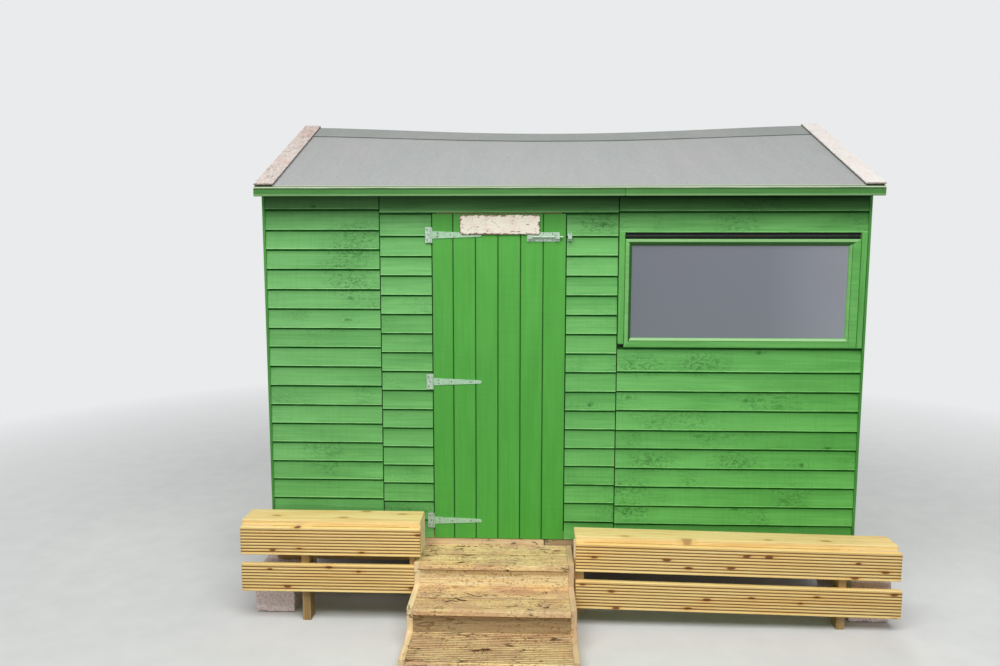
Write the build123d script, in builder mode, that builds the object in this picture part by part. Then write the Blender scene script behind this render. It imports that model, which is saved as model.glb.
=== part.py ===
import os
from math import pi, sin

from build123d import *

os.makedirs("parts", exist_ok=True)

# A timber garden shed with a felted apex roof, its door steps and two deck-board benches.
# Millimetres, +Z up. The origin is on the ground under the middle of the floor plan, +X runs
# along the front wall to the right, and the front wall faces -Y.

# Overall sizes
wall_length = 3050.0
wall_depth = 1716.0
left_panel_width = 588.0
door_panel_width = 1220.0
floor_height = 360.0
eaves_height = 1825.0
ridge_rise = 431.0
roof_sag = 41.0
sag_power = 1.3
eaves_overhang = 80.0
left_verge_overhang = 27.0
right_verge_overhang = 42.0

# Clearances
seat_gap = 0.3
panel_gap = 1.5
door_gap = 5.0
door_foot_gap = 3.0
door_head_gap = 6.0

# Wall timbers
cladding_thickness = 12.0
cladding_thin_edge = 5.0
cladding_drop = 14.0
cladding_foot = 3.0
frame_depth = 44.0
stud_width = 38.0
stop_width = 44.0
plate_height = 44.0
plate_drop = 15.0
gable_drop = 0.6

# Boarding: exposed height of each course, and of the highest board on each stretch of wall
left_lap = 101.3
left_top_board = 112.0
door_lap = 99.9
door_top_board = 118.0
window_lap = 101.75
window_top_board = 121.0
window_sill_board = 127.0
rear_lap = 101.0
rear_top_board = 114.0

# Door opening and leaf
door_inset = 267.0
door_opening = 692.0
door_header_height = 128.0
door_board_count = 6
door_board_thickness = 12.0
door_first_board_trim = 9.0
door_groove = 4.0
door_stop_gap = 1.0
stop_cover = 20.0
head_rail_drop = 16.0
ledge_height = 95.0
ledge_thickness = 20.0
ledge_side_gap = 7.0
top_ledge_drop = 7.0

# Window
casing_gap = 3.0
window_foot = 1034.0
window_head_drop = 228.0
seal_height = 33.0
seal_thickness = 6.0
sash_width = 42.0
sash_foot_rail = 49.0
sash_depth = 20.0
sash_proud = 8.0
sill_bevel = 6.0
pane_thickness = 4.0
pane_recess = 14.0
pane_rebate = 11.0
casing_width = 31.0
casing_right_width = 33.0
casing_proud = 12.0

# Floor and piers
floor_thickness = 16.0
floor_groove = 3.0
floor_board_width = 150.0
joist_depth = 44.0
joist_width = 38.0
joist_count = 7
bearer_depth = 75.0
bearer_width = 50.0
pier_width = 215.0
pier_length = 440.0
pier_left_outset = 75.0
pier_right_outset = 157.0
pier_front_outset = 145.0
pier_middle_inset = 10.0
edge_board_thickness = 20.0
edge_board_joint_inset = 105.0
edge_setback = 4.0

# Roof
deck_thickness = 12.0
felt_thickness = 3.0
ridge_felt_reach = 160.0
ridge_beam_width = 38.0
ridge_beam_depth = 70.0
beam_gap = 0.8
eaves_rail_size = 28.0
fascia_height = 43.0
fascia_thickness = 16.0
fascia_joint_inset = 22.0
verge_width = 95.0
verge_thickness = 18.0
verge_setback = 6.0
station_count = 8

# Corner trims
trim_thickness = 12.0
trim_width = 44.0
trim_lip = 4.0

# Sign plate
sign_inset = 141.0
sign_length = 409.0
sign_head_drop = 12.0
sign_height = 100.0
sign_thickness = 5.0
sign_corner = 12.0

# Padbolt
bolt_under_sign = 11.0
bolt_plate_reach = 198.0
bolt_plate_length = 166.0
bolt_plate_height = 46.0
bolt_metal = 3.0
bolt_radius = 5.0
bolt_clearance = 1.0
bolt_length = 163.0
bolt_setback = 16.0
bolt_standoff = 7.0
guide_length = 22.0
guide_wall = 3.0
guide_inset = 6.0
knob_place = 70.0
knob_length = 16.0
keeper_inset = 4.5
keeper_length = 20.0
keeper_height = 40.0

# Hinges
low_hinge_height = 100.0
middle_hinge_height = 848.0
top_hinge_lift = 10.0
hinge_plate_height = 80.0
hinge_plate_width = 29.0
hinge_metal = 3.0
strap_length = 254.0
strap_root = 38.0
strap_tip = 18.0
knuckle_radius = 4.0
knuckle_gap = 0.6
pin_radius = 2.0
pin_clearance = 0.1

# Steps
step_left_reach = 71.0
step_right_reach = 40.0
stringer_thickness = 29.0
step_drop = 32.0
step_rise = 115.0
step_going = 248.0
step_count = 3
nosing = 20.0
tread_thickness = 30.0
riser_thickness = 20.0
tread_gap = 3.0

# Benches
bench_front = 246.0
bench_board = 28.0
bench_fascia_height = 145.0
bench_fascia_gap = 48.0
left_bench_overhang = 97.0
left_bench_lap = 32.0
left_bench_top = 170.0
left_seat_width = 160.0
right_bench_gap = 7.0
right_bench_overhang = 146.0
right_bench_top = 107.0
right_bench_fall = 28.0
right_lower_reach = 10.0
right_seat_width = 130.0
right_seat_inset = 6.0
seat_round = 4.0
left_post_inset = 301.0
right_post_inset = 293.0
post_width = 40.0
post_depth = 70.0
left_batten_width = 26.0
right_batten_width = 51.0
cheek_thickness = 28.0
batten_tail = 27.0
reed_count = 8
reed_depth = 3.0
reed_groove = 5.0

# Places worked out from the sizes above
left = -wall_length / 2
front = -wall_depth / 2
back = wall_depth / 2
right = wall_length / 2
floor = floor_height
eaves = floor + eaves_height
slope = ridge_rise / (wall_depth / 2 + eaves_overhang)
cladding_top = eaves_height + eaves_overhang * slope - cladding_drop
door_head = cladding_top - door_header_height
window_head = cladding_top - window_head_drop
sign_foot = door_head - sign_head_drop - sign_height
bolt_height = sign_foot - bolt_under_sign
hinge_heights = (low_hinge_height, middle_hinge_height, bolt_height + top_hinge_lift)
ledge_heights = (low_hinge_height, middle_hinge_height, bolt_height - top_ledge_drop)
plate_inner = cladding_thickness + frame_depth
joint_left = left + left_panel_width
joint_right = joint_left + door_panel_width
opening_left = joint_left + door_inset
opening_right = opening_left + door_opening
leaf_left = opening_left + door_gap
leaf_right = opening_right - door_gap
leaf_foot = floor + door_foot_gap
leaf_head = floor + door_head - door_head_gap
glass_left = joint_right + casing_gap + casing_width
glass_right = right - casing_right_width
step_x0 = opening_left - step_left_reach
step_x1 = opening_right + step_right_reach
frame_front = front + cladding_thickness
frame_back = back - cladding_thickness
frame_left = left + cladding_thickness
frame_right = right - cladding_thickness
roof_left = left - left_verge_overhang
roof_right = right + right_verge_overhang


def block(x0, x1, y0, y1, z0, z1):
    """Adds one squared timber between two corners."""
    with Locations(((x0 + x1) / 2, (y0 + y1) / 2, (z0 + z1) / 2)):
        Box(x1 - x0, y1 - y0, z1 - z0)


def lap_profile(foot, top, first_lap, lap):
    """Face of a boarded wall seen from its end: depth across, height up, in the XY plane."""
    laps = []
    height = first_lap
    while height > foot + lap / 4:
        laps.insert(0, height)
        height -= lap
    edges = [foot] + laps + [top]
    points = [(cladding_thickness, foot)]
    for low, high in zip(edges[:-1], edges[1:]):
        points.append((0, low))
        points.append((cladding_thickness - cladding_thin_edge, high))
    points.append((cladding_thickness, top))
    with BuildSketch() as profile:
        with BuildLine():
            Polyline(*points, close=True)
        make_face()
    return profile.sketch


def wall_plane(x, y, outward):
    """Plane whose x runs into the wall from its outer face and whose y runs up."""
    inward = Vector(-outward[0], -outward[1], 0)
    return Plane(origin=(x, y, floor), x_dir=inward, z_dir=inward.cross(Vector(0, 0, 1)))


def roof_height(distance, sag=0.0):
    """Underside of the roof boards at a distance in front of or behind the ridge."""
    half = wall_depth / 2
    straight = eaves + (half + eaves_overhang - distance) * slope
    return straight - sag * max(0.0, 1 - distance / (half - plate_inner))


def sag_at(x):
    """How far the ridge has dropped at a place along it, none over the gables."""
    clear = wall_length - 2 * plate_inner
    share = (x - left - plate_inner) / clear
    return roof_sag * sin(pi * share) ** sag_power if 0 < share < 1 else 0.0


def roof_section(x, side, low, high, start, end):
    """Section of one roof layer at x, from the distance start to end off the ridge."""
    sag = sag_at(x)
    points = [(side * d, roof_height(d, sag) + lift)
              for d, lift in ((start, low), (end, low), (end, high), (start, high))]
    with BuildSketch(Plane(origin=(x, 0, 0), x_dir=(0, 1, 0), z_dir=(1, 0, 0))) as section:
        with BuildLine():
            Polyline(*points, close=True)
        make_face()
    return section.sketch


def roof_stations(x0, x1, count):
    """Evenly spaced places along the ridge."""
    return [x0 + (x1 - x0) * i / count for i in range(count + 1)]


def board_profile(width, thickness):
    """End of a deck board, reeded on the side that faces -Y, centred on its height."""
    pitch = width / (reed_count + 1)
    with BuildSketch() as profile:
        with Locations((thickness / 2, 0)):
            Rectangle(thickness, width)
        with Locations(*[(0, (i - (reed_count - 1) / 2) * pitch) for i in range(reed_count)]):
            Rectangle(2 * reed_depth, reed_groove, mode=Mode.SUBTRACT)
    return profile.sketch


def save(piece, name):
    """Names one finished piece and writes it to its own file."""
    piece.part.label = name
    export_step(piece.part, f"parts/{name}.step")


# Piers, bearers and floor
pier_top = floor - floor_thickness - joist_depth - bearer_depth
pier_columns = ((left - pier_left_outset, pier_front_outset),
                (-pier_width / 2, -pier_middle_inset),
                (right + pier_right_outset - pier_width, pier_front_outset))
with BuildPart() as block_piers:
    for x, outset in pier_columns:
        for y in (front - outset, -pier_length / 2, back + outset - pier_length):
            block(x, x + pier_width, y, y + pier_length, 0, pier_top)
save(block_piers, "block_piers")

bearer_rows = (front + bearer_width, 0.0, back - bearer_width)
with BuildPart() as floor_bearers:
    for row in bearer_rows:
        block(left + seat_gap, right, row - bearer_width / 2, row + bearer_width / 2,
              pier_top, pier_top + bearer_depth)
save(floor_bearers, "floor_bearers")

joist_foot = pier_top + bearer_depth
joist_pitch = (wall_length - joist_width) / (joist_count - 1)
edge_front = front + edge_setback
edge_back = back - edge_setback
with BuildPart() as floor_joists:
    for i in range(joist_count):
        x = left + i * joist_pitch
        block(x, x + joist_width, edge_front + edge_board_thickness,
              edge_back - edge_board_thickness, joist_foot, joist_foot + joist_depth)
save(floor_joists, "floor_joists")

with BuildPart() as floor_boards:
    block(left, right, edge_front + edge_board_thickness, edge_back - edge_board_thickness,
          floor - floor_thickness, floor)
    seams = int(wall_depth / floor_board_width / 2)
    for i in range(-seams + 1, seams):
        y = i * floor_board_width
        with Locations((0, y, floor)):
            Box(wall_length, floor_groove, floor_groove, mode=Mode.SUBTRACT)
save(floor_boards, "floor_boards")

with BuildPart() as floor_edge_boards:
    joint = opening_right - edge_board_joint_inset
    for x0, x1 in ((left, joint - panel_gap), (joint, right)):
        block(x0, x1, edge_front, edge_front + edge_board_thickness, joist_foot, floor)
    block(left, right, edge_back - edge_board_thickness, edge_back, joist_foot, floor)
save(floor_edge_boards, "floor_edge_boards")

# Front wall boarding, one piece for each stretch between joints and openings
with BuildPart() as left_panel_cladding:
    extrude(wall_plane(left, front, (0, -1)) * lap_profile(
        cladding_foot, cladding_top, cladding_top - left_top_board, left_lap),
        amount=left_panel_width - panel_gap, dir=(1, 0, 0))
save(left_panel_cladding, "left_panel_cladding")

with BuildPart() as door_left_cladding:
    extrude(wall_plane(joint_left, front, (0, -1)) * lap_profile(
        cladding_foot, door_head - seat_gap, door_head - door_top_board, door_lap),
        amount=opening_left - joint_left, dir=(1, 0, 0))
save(door_left_cladding, "door_left_cladding")

with BuildPart() as door_right_cladding:
    extrude(wall_plane(opening_right, front, (0, -1)) * lap_profile(
        cladding_foot, door_head - seat_gap, door_head - door_top_board, door_lap),
        amount=joint_right - panel_gap - opening_right, dir=(1, 0, 0))
save(door_right_cladding, "door_right_cladding")

with BuildPart() as door_header:
    extrude(wall_plane(joint_left, front, (0, -1)) * lap_profile(
        door_head, cladding_top, door_head, door_lap),
        amount=door_panel_width - panel_gap, dir=(1, 0, 0))
save(door_header, "door_header")

with BuildPart() as window_lower_cladding:
    extrude(wall_plane(joint_right, front, (0, -1)) * lap_profile(
        cladding_foot, window_foot, window_foot - window_sill_board, window_lap),
        amount=right - joint_right, dir=(1, 0, 0))
save(window_lower_cladding, "window_lower_cladding")

with BuildPart() as window_upper_cladding:
    extrude(wall_plane(joint_right, front, (0, -1)) * lap_profile(
        window_head, cladding_top, cladding_top - window_top_board, window_lap),
        amount=right - joint_right, dir=(1, 0, 0))
save(window_upper_cladding, "window_upper_cladding")

# Rear and gable boarding
with BuildPart() as back_cladding:
    panel_edges = (left, joint_left, joint_right, right + panel_gap)
    for x0, x1 in zip(panel_edges[:-1], panel_edges[1:]):
        extrude(wall_plane(x0, back, (0, 1)) * lap_profile(
            cladding_foot, cladding_top, cladding_top - rear_top_board, rear_lap),
            amount=x1 - panel_gap - x0, dir=(1, 0, 0))
save(back_cladding, "back_cladding")


def gable_outline(x, inset, drop):
    """Outline under the roof boards, its sides set in from the wall faces."""
    half = wall_depth / 2 - inset
    with BuildSketch(Plane(origin=(x, 0, 0), x_dir=(0, 1, 0), z_dir=(1, 0, 0))) as outline:
        with BuildLine():
            Polyline((-half, floor), (half, floor), (half, roof_height(half) - drop),
                     (0, roof_height(0) - drop), (-half, roof_height(half) - drop), close=True)
        make_face()
    return outline.sketch


gable_height = roof_height(0) - floor
for name, x, outward in (("left_gable_cladding", left, -1), ("right_gable_cladding", right, 1)):
    with BuildPart() as gable:
        extrude(wall_plane(x, front + cladding_thickness, (outward, 0)) * lap_profile(
            cladding_foot, gable_height, cladding_top - rear_top_board, rear_lap),
            amount=wall_depth - 2 * cladding_thickness, dir=(0, 1, 0))
        extrude(gable_outline(x, cladding_thickness, gable_drop), amount=cladding_thickness,
                both=True, mode=Mode.INTERSECT)
    save(gable, name)

with BuildPart() as corner_trims:
    trim_top = floor + cladding_top
    for x0 in (left - trim_thickness, right):
        for y0, y1 in ((front - trim_lip, front - trim_lip + trim_width),
                       (back + trim_lip - trim_width, back + trim_lip)):
            block(x0, x0 + trim_thickness, y0, y1, floor + cladding_foot, trim_top)
save(corner_trims, "corner_trims")

# Front frame
stud_foot = floor + plate_height
plate_foot = eaves - plate_drop
head_rail_foot = floor + door_head - head_rail_drop
frame_start = frame_left + frame_depth + seat_gap
frame_end = frame_right - frame_depth - seat_gap
stop_left = leaf_left + stop_cover - stop_width
stop_right = leaf_right - stop_cover
stop_front = front + door_board_thickness + door_stop_gap
window_stud = glass_left - casing_width
sash_head = floor + window_head - seal_height
with BuildPart() as front_studs:
    stud_lefts = (frame_start, joint_left - stud_width - panel_gap, joint_left, stop_left,
                  stop_right, joint_right - stud_width - panel_gap, window_stud,
                  frame_end - stud_width)
    for x in stud_lefts:
        is_stop = x in (stop_left, stop_right)
        width = stop_width if is_stop else stud_width
        face = stop_front if is_stop else frame_front
        block(x, x + width, face, frame_front + frame_depth, stud_foot, plate_foot)
save(front_studs, "front_studs")


def plate_section(side):
    """Wall plate whose top is planed to the roof slope."""
    outer = wall_depth / 2 - cladding_thickness
    inner = outer - frame_depth
    with BuildSketch(Plane(origin=(left, 0, 0), x_dir=(0, 1, 0), z_dir=(1, 0, 0))) as section:
        with BuildLine():
            Polyline((side * outer, plate_foot), (side * inner, plate_foot),
                     (side * inner, roof_height(inner) - seat_gap),
                     (side * outer, roof_height(outer) - seat_gap), close=True)
        make_face()
    return section.sketch


with BuildPart() as front_rails:
    rail_back = frame_front + frame_depth
    block(frame_start, stop_left + stop_width, frame_front, rail_back, floor, stud_foot)
    block(stop_right, frame_end, frame_front, rail_back, floor, stud_foot)
    block(stop_left + stop_width, stop_right, stop_front, rail_back,
          head_rail_foot, head_rail_foot + stud_width)
    block(window_stud + stud_width, frame_end - stud_width, frame_front, rail_back,
          floor + window_foot - stud_width, floor + window_foot)
    block(window_stud + stud_width, frame_end - stud_width, frame_front, rail_back,
          sash_head, sash_head + stud_width)
    extrude(Pos(frame_start - left, 0, 0) * plate_section(-1), amount=frame_end - frame_start)
save(front_rails, "front_rails")

# Rear and gable frames
with BuildPart() as rear_studs:
    rear_lefts = (frame_start, joint_left - stud_width / 2, (joint_left + joint_right) / 2,
                  joint_right - stud_width / 2, (joint_right + right) / 2, frame_end - stud_width)
    for x in rear_lefts:
        block(x, x + stud_width, frame_back - frame_depth, frame_back, stud_foot, plate_foot)
save(rear_studs, "rear_studs")

with BuildPart() as rear_rails:
    block(frame_start, frame_end, frame_back - frame_depth, frame_back, floor, stud_foot)
    extrude(Pos(frame_start - left, 0, 0) * plate_section(1), amount=frame_end - frame_start)
save(rear_rails, "rear_rails")

with BuildPart() as gable_studs:
    for x in (frame_left, frame_right - frame_depth):
        for y in (frame_front, -stud_width / 2, frame_back - stud_width):
            distance = max(abs(y), abs(y + stud_width))
            head = roof_height(distance) - stud_width - gable_drop - seat_gap
            block(x, x + frame_depth, y, y + stud_width, stud_foot, head)
save(gable_studs, "gable_studs")

with BuildPart() as gable_rails:
    for x in (frame_left, frame_right - frame_depth):
        extrude(gable_outline(x, cladding_thickness, gable_drop), amount=frame_depth)
        extrude(gable_outline(x, cladding_thickness, gable_drop + stud_width),
                amount=frame_depth, mode=Mode.SUBTRACT)
        block(x, x + frame_depth, frame_front, frame_back, floor, stud_foot)
save(gable_rails, "gable_rails")

# Roof: boards, felt and ridge, lofted through sections that follow the sagging ridge
roof_end = wall_depth / 2 + eaves_overhang - fascia_thickness
roof_bend = wall_depth / 2 - plate_inner
felt_low = deck_thickness + seat_gap
felt_top = felt_low + felt_thickness
for name, side, low, thickness in (
        ("roof_deck_front", -1, 0.0, deck_thickness),
        ("roof_deck_back", 1, 0.0, deck_thickness),
        ("felt_front", -1, felt_low, felt_thickness),
        ("felt_back", 1, felt_low, felt_thickness)):
    with BuildPart() as layer:
        loft([roof_section(x, side, low, low + thickness, seat_gap, roof_bend)
              for x in roof_stations(roof_left, roof_right, station_count)])
        extrude(roof_section(roof_left, side, low, low + thickness, roof_bend, roof_end),
                amount=roof_right - roof_left)
    save(layer, name)


def ridge_section(x, reach, low, high):
    """Section across the ridge, folded over both slopes."""
    ends = [(-reach, low), (0, low), (reach, low), (reach, high), (0, high), (-reach, high)]
    points = [(d, roof_height(abs(d), sag_at(x)) + lift) for d, lift in ends]
    with BuildSketch(Plane(origin=(x, 0, 0), x_dir=(0, 1, 0), z_dir=(1, 0, 0))) as section:
        with BuildLine():
            Polyline(*points, close=True)
        make_face()
    return section.sketch


with BuildPart() as felt_ridge:
    cap_start = roof_left + verge_width + seat_gap
    cap_end = roof_right - verge_width - seat_gap
    loft([ridge_section(x, ridge_felt_reach, felt_top + seat_gap,
                        felt_top + seat_gap + felt_thickness)
          for x in roof_stations(cap_start, cap_end, station_count)])
save(felt_ridge, "felt_ridge")


def beam_section(x):
    """Ridge beam with its top planed to both slopes."""
    half = ridge_beam_width / 2
    top = roof_height(0, sag_at(x)) - beam_gap
    shoulder = roof_height(half, sag_at(x)) - beam_gap
    with BuildSketch(Plane(origin=(x, 0, 0), x_dir=(0, 1, 0), z_dir=(1, 0, 0))) as section:
        with BuildLine():
            Polyline((-half, top - ridge_beam_depth), (half, top - ridge_beam_depth),
                     (half, shoulder), (0, top), (-half, shoulder), close=True)
        make_face()
    return section.sketch


with BuildPart() as ridge_beam:
    loft([beam_section(x) for x in roof_stations(frame_start, frame_end, station_count)])
save(ridge_beam, "ridge_beam")

with BuildPart() as eaves_rails:
    for side in (-1, 1):
        outer = roof_end
        inner = roof_end - eaves_rail_size
        with BuildSketch(Plane(origin=(roof_left, 0, 0), x_dir=(0, 1, 0), z_dir=(1, 0, 0))):
            with BuildLine():
                Polyline((side * outer, roof_height(outer) - eaves_rail_size),
                         (side * inner, roof_height(outer) - eaves_rail_size),
                         (side * inner, roof_height(inner) - seat_gap),
                         (side * outer, roof_height(outer) - seat_gap), close=True)
            make_face()
        extrude(amount=roof_right - roof_left)
save(eaves_rails, "eaves_rails")

fascia_foot = eaves + felt_top - fascia_height


def fascia_section(x, side):
    """Eaves board with its top planed level with the felt."""
    outer = roof_end + fascia_thickness
    with BuildSketch(Plane(origin=(x, 0, 0), x_dir=(0, 1, 0), z_dir=(1, 0, 0))) as section:
        with BuildLine():
            Polyline((side * roof_end, fascia_foot), (side * outer, fascia_foot),
                     (side * outer, roof_height(outer) + felt_top),
                     (side * roof_end, roof_height(roof_end) + felt_top), close=True)
        make_face()
    return section.sketch


with BuildPart() as fascia_front:
    joint = joint_right + fascia_joint_inset
    for x0, x1 in ((roof_left, joint - panel_gap), (joint, roof_right)):
        extrude(fascia_section(x0, -1), amount=x1 - x0, dir=(1, 0, 0))
save(fascia_front, "fascia_front")

with BuildPart() as fascia_back:
    extrude(fascia_section(roof_left, 1), amount=roof_right - roof_left, dir=(1, 0, 0))
save(fascia_back, "fascia_back")

verge_low = felt_top + seat_gap
for name, side in (("verge_boards_front", -1), ("verge_boards_back", 1)):
    with BuildPart() as verge:
        for x0 in (roof_left, roof_right - verge_width):
            section = roof_section(left, side, verge_low, verge_low + verge_thickness,
                                   seat_gap, roof_end + fascia_thickness - verge_setback)
            extrude(Pos(x0 - left, 0, 0) * section, amount=verge_width, dir=(1, 0, 0))
    save(verge, name)

# Window
sash_back = front - sash_proud + sash_depth
pane_front = front - sash_proud + pane_recess
sash_foot = floor + window_foot + seat_gap
light_foot = sash_foot + sash_foot_rail
light_head = sash_head - sash_width
with BuildPart() as window_sash:
    block(glass_left, glass_right, front - sash_proud, sash_back, sash_foot, sash_head)
    with Locations(((glass_left + glass_right) / 2, front, (light_foot + light_head) / 2)):
        Box(glass_right - glass_left - 2 * sash_width, 3 * sash_depth, light_head - light_foot,
            mode=Mode.SUBTRACT)
    with Locations(((glass_left + glass_right) / 2, pane_front, (light_foot + light_head) / 2)):
        Box(glass_right - glass_left - 2 * sash_width + 2 * pane_rebate, sash_depth,
            light_head - light_foot + 2 * pane_rebate,
            align=(Align.CENTER, Align.MIN, Align.CENTER), mode=Mode.SUBTRACT)
    foot_edge = window_sash.edges().filter_by(Axis.X).group_by(Axis.Y)[0].sort_by(Axis.Z)[1]
    chamfer(foot_edge, length=sill_bevel)
save(window_sash, "window_sash")

with BuildPart() as window_pane:
    block(glass_left + sash_width - pane_rebate, glass_right - sash_width + pane_rebate,
          pane_front, pane_front + pane_thickness,
          light_foot - pane_rebate, light_head + pane_rebate)
save(window_pane, "window_pane")

with BuildPart() as window_seal:
    block(glass_left, glass_right, frame_front - seal_thickness, frame_front,
          sash_head, floor + window_head)
save(window_seal, "window_seal")

with BuildPart() as window_casing:
    for x0, x1 in ((glass_left - casing_width, glass_left),
                   (glass_right, glass_right + casing_right_width)):
        block(x0, x1, front - casing_proud, frame_front, floor + window_foot,
              floor + window_head)
save(window_casing, "window_casing")

# Door leaf
leaf_width = leaf_right - leaf_left
with BuildPart() as door_boards:
    block(leaf_left, leaf_right, front, front + door_board_thickness, leaf_foot, leaf_head)
    board_pitch = (leaf_width + door_first_board_trim) / door_board_count
    for i in range(1, door_board_count):
        with Locations((leaf_right - i * board_pitch, front, (leaf_foot + leaf_head) / 2)):
            Box(door_groove, door_groove, leaf_head - leaf_foot, rotation=(0, 0, 45),
                mode=Mode.SUBTRACT)
save(door_boards, "door_boards")

ledge_left = stop_left + stop_width + ledge_side_gap
ledge_right = stop_right - ledge_side_gap
ledge_front = front + door_board_thickness
with BuildPart() as door_ledges:
    for height in ledge_heights:
        block(ledge_left, ledge_right, ledge_front, ledge_front + ledge_thickness,
              floor + height - ledge_height / 2, floor + height + ledge_height / 2)
    for low, high in zip(ledge_heights[:-1], ledge_heights[1:]):
        foot = floor + low + ledge_height / 2
        head = floor + high - ledge_height / 2
        with BuildSketch(Plane.XZ.offset(-ledge_front)) as brace:
            with BuildLine():
                Polyline((ledge_left, foot), (ledge_left + ledge_height, foot),
                         (ledge_right, head), (ledge_right - ledge_height, head), close=True)
            make_face()
        extrude(amount=-ledge_thickness)
save(door_ledges, "door_ledges")

# Strap hinges
hinge_x = (opening_left + leaf_left) / 2
hinge_y = front - knuckle_radius
half_strap = strap_root / 2
half_tip = strap_tip / 2
round_x = hinge_x + strap_length - half_tip
with BuildPart() as hinge_straps:
    for height in hinge_heights:
        z = floor + height
        with BuildSketch(Plane.XZ.offset(-front)) as outline:
            with BuildLine():
                Polyline((round_x, z - half_tip), (hinge_x, z - half_strap),
                         (hinge_x, z + half_strap), (round_x, z + half_tip))
                ThreePointArc((round_x, z + half_tip), (hinge_x + strap_length, z),
                              (round_x, z - half_tip))
            make_face()
        extrude(amount=hinge_metal)
        with Locations((hinge_x, hinge_y, z)):
            Cylinder(knuckle_radius, strap_root)
    for height in hinge_heights:
        with Locations((hinge_x, hinge_y, floor + height)):
            Cylinder(pin_radius + pin_clearance, strap_root * 2, mode=Mode.SUBTRACT)
save(hinge_straps, "hinge_straps")

with BuildPart() as hinge_plates:
    knuckle = (hinge_plate_height - strap_root) / 2 - knuckle_gap
    for height in hinge_heights:
        z = floor + height
        block(hinge_x - knuckle_radius - hinge_plate_width, hinge_x - knuckle_radius,
              front - hinge_metal, front, z - hinge_plate_height / 2, z + hinge_plate_height / 2)
        for side in (-1, 1):
            middle = z + side * (hinge_plate_height - knuckle) / 2
            with Locations((hinge_x, hinge_y, middle)):
                Cylinder(knuckle_radius, knuckle)
            block(hinge_x - knuckle_radius - hinge_metal, hinge_x, front - hinge_metal, front,
                  middle - knuckle / 2, middle + knuckle / 2)
        with Locations((hinge_x, hinge_y, z)):
            Cylinder(pin_radius, hinge_plate_height)
save(hinge_plates, "hinge_plates")

# Padbolt, drawn back at rest
bolt_y = front - bolt_metal - bolt_standoff
bolt_z = floor + bolt_height
bolt_tip = leaf_right - bolt_setback
plate_left = leaf_right - bolt_plate_reach
guide_lefts = (plate_left + guide_inset, plate_left + bolt_plate_length - guide_length)
with BuildPart() as padbolt_plate:
    block(plate_left, plate_left + bolt_plate_length, front - bolt_metal, front,
          bolt_z - bolt_plate_height / 2, bolt_z + bolt_plate_height / 2)
    guide_half = bolt_radius + bolt_clearance + guide_wall
    for x in guide_lefts:
        block(x, x + guide_length, bolt_y - guide_half, front - bolt_metal,
              bolt_z - guide_half, bolt_z + guide_half)
    with Locations(Pos(plate_left + bolt_plate_length / 2, bolt_y, bolt_z) * Rot(0, 90, 0)):
        Cylinder(bolt_radius + bolt_clearance, bolt_plate_length * 2, mode=Mode.SUBTRACT)
save(padbolt_plate, "padbolt_plate")

with BuildPart() as padbolt_bolt:
    with Locations(Pos(bolt_tip - bolt_length / 2, bolt_y, bolt_z) * Rot(0, 90, 0)):
        Cylinder(bolt_radius, bolt_length)
    with Locations(Pos(plate_left + knob_place, bolt_y - bolt_radius / 2, bolt_z) * Rot(90, 0, 0)):
        Cylinder(bolt_radius, knob_length, align=(Align.CENTER, Align.CENTER, Align.MIN))
save(padbolt_bolt, "padbolt_bolt")

keeper_x = opening_right + keeper_inset
with BuildPart() as padbolt_keeper:
    block(keeper_x, keeper_x + keeper_length, bolt_y - guide_half, front,
          bolt_z - guide_half, bolt_z + guide_half)
    block(keeper_x, keeper_x + keeper_length, front - bolt_metal, front,
          bolt_z - keeper_height / 2, bolt_z + keeper_height / 2)
    with Locations(Pos(keeper_x + keeper_length / 2, bolt_y, bolt_z) * Rot(0, 90, 0)):
        Cylinder(bolt_radius + bolt_clearance, keeper_length * 2, mode=Mode.SUBTRACT)
save(padbolt_keeper, "padbolt_keeper")

with BuildPart() as sign_plate:
    sign_back = front - hinge_metal - seat_gap
    sign_left = leaf_left + sign_inset
    block(sign_left, sign_left + sign_length, sign_back - sign_thickness, sign_back,
          floor + sign_foot, floor + sign_foot + sign_height)
    fillet(sign_plate.edges().filter_by(Axis.Y), radius=sign_corner)
save(sign_plate, "sign_plate")

# Steps: saw-cut side boards with treads and risers between them
step_back = edge_front - seat_gap
riser_faces = [front - step_going * i for i in range(1, step_count + 1)]
tread_tops = [floor - step_drop - step_rise * i for i in range(step_count)]
with BuildPart() as step_stringers:
    outline = [(step_back, 0), (step_back, tread_tops[0])]
    for face, top, below in zip(riser_faces, tread_tops, tread_tops[1:] + [0]):
        outline += [(face, top), (face, below)]
    for x0 in (step_x0, step_x1 - stringer_thickness):
        with BuildSketch(Plane(origin=(x0, 0, 0), x_dir=(0, 1, 0), z_dir=(1, 0, 0))) as saw_cut:
            with BuildLine():
                Polyline(*outline, close=True)
            make_face()
        extrude(amount=stringer_thickness)
save(step_stringers, "step_stringers")

tread_x0 = step_x0 + stringer_thickness + seat_gap
tread_x1 = step_x1 - stringer_thickness - seat_gap
tread_backs = [step_back] + [face - seat_gap for face in riser_faces[:-1]]
with BuildPart() as step_treads:
    for rear, face, top in zip(tread_backs, riser_faces, tread_tops):
        nose = face - nosing
        board = (rear - nose - tread_gap) / 2
        for y0 in (nose, nose + board + tread_gap):
            if top == tread_tops[-1]:
                board_end = Plane(origin=(tread_x0, y0 + board / 2, top),
                                  x_dir=(0, 0, -1), z_dir=(1, 0, 0))
                extrude(board_end * board_profile(board, tread_thickness),
                        amount=tread_x1 - tread_x0)
            else:
                block(tread_x0, tread_x1, y0, y0 + board, top - tread_thickness, top)
save(step_treads, "step_treads")

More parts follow.
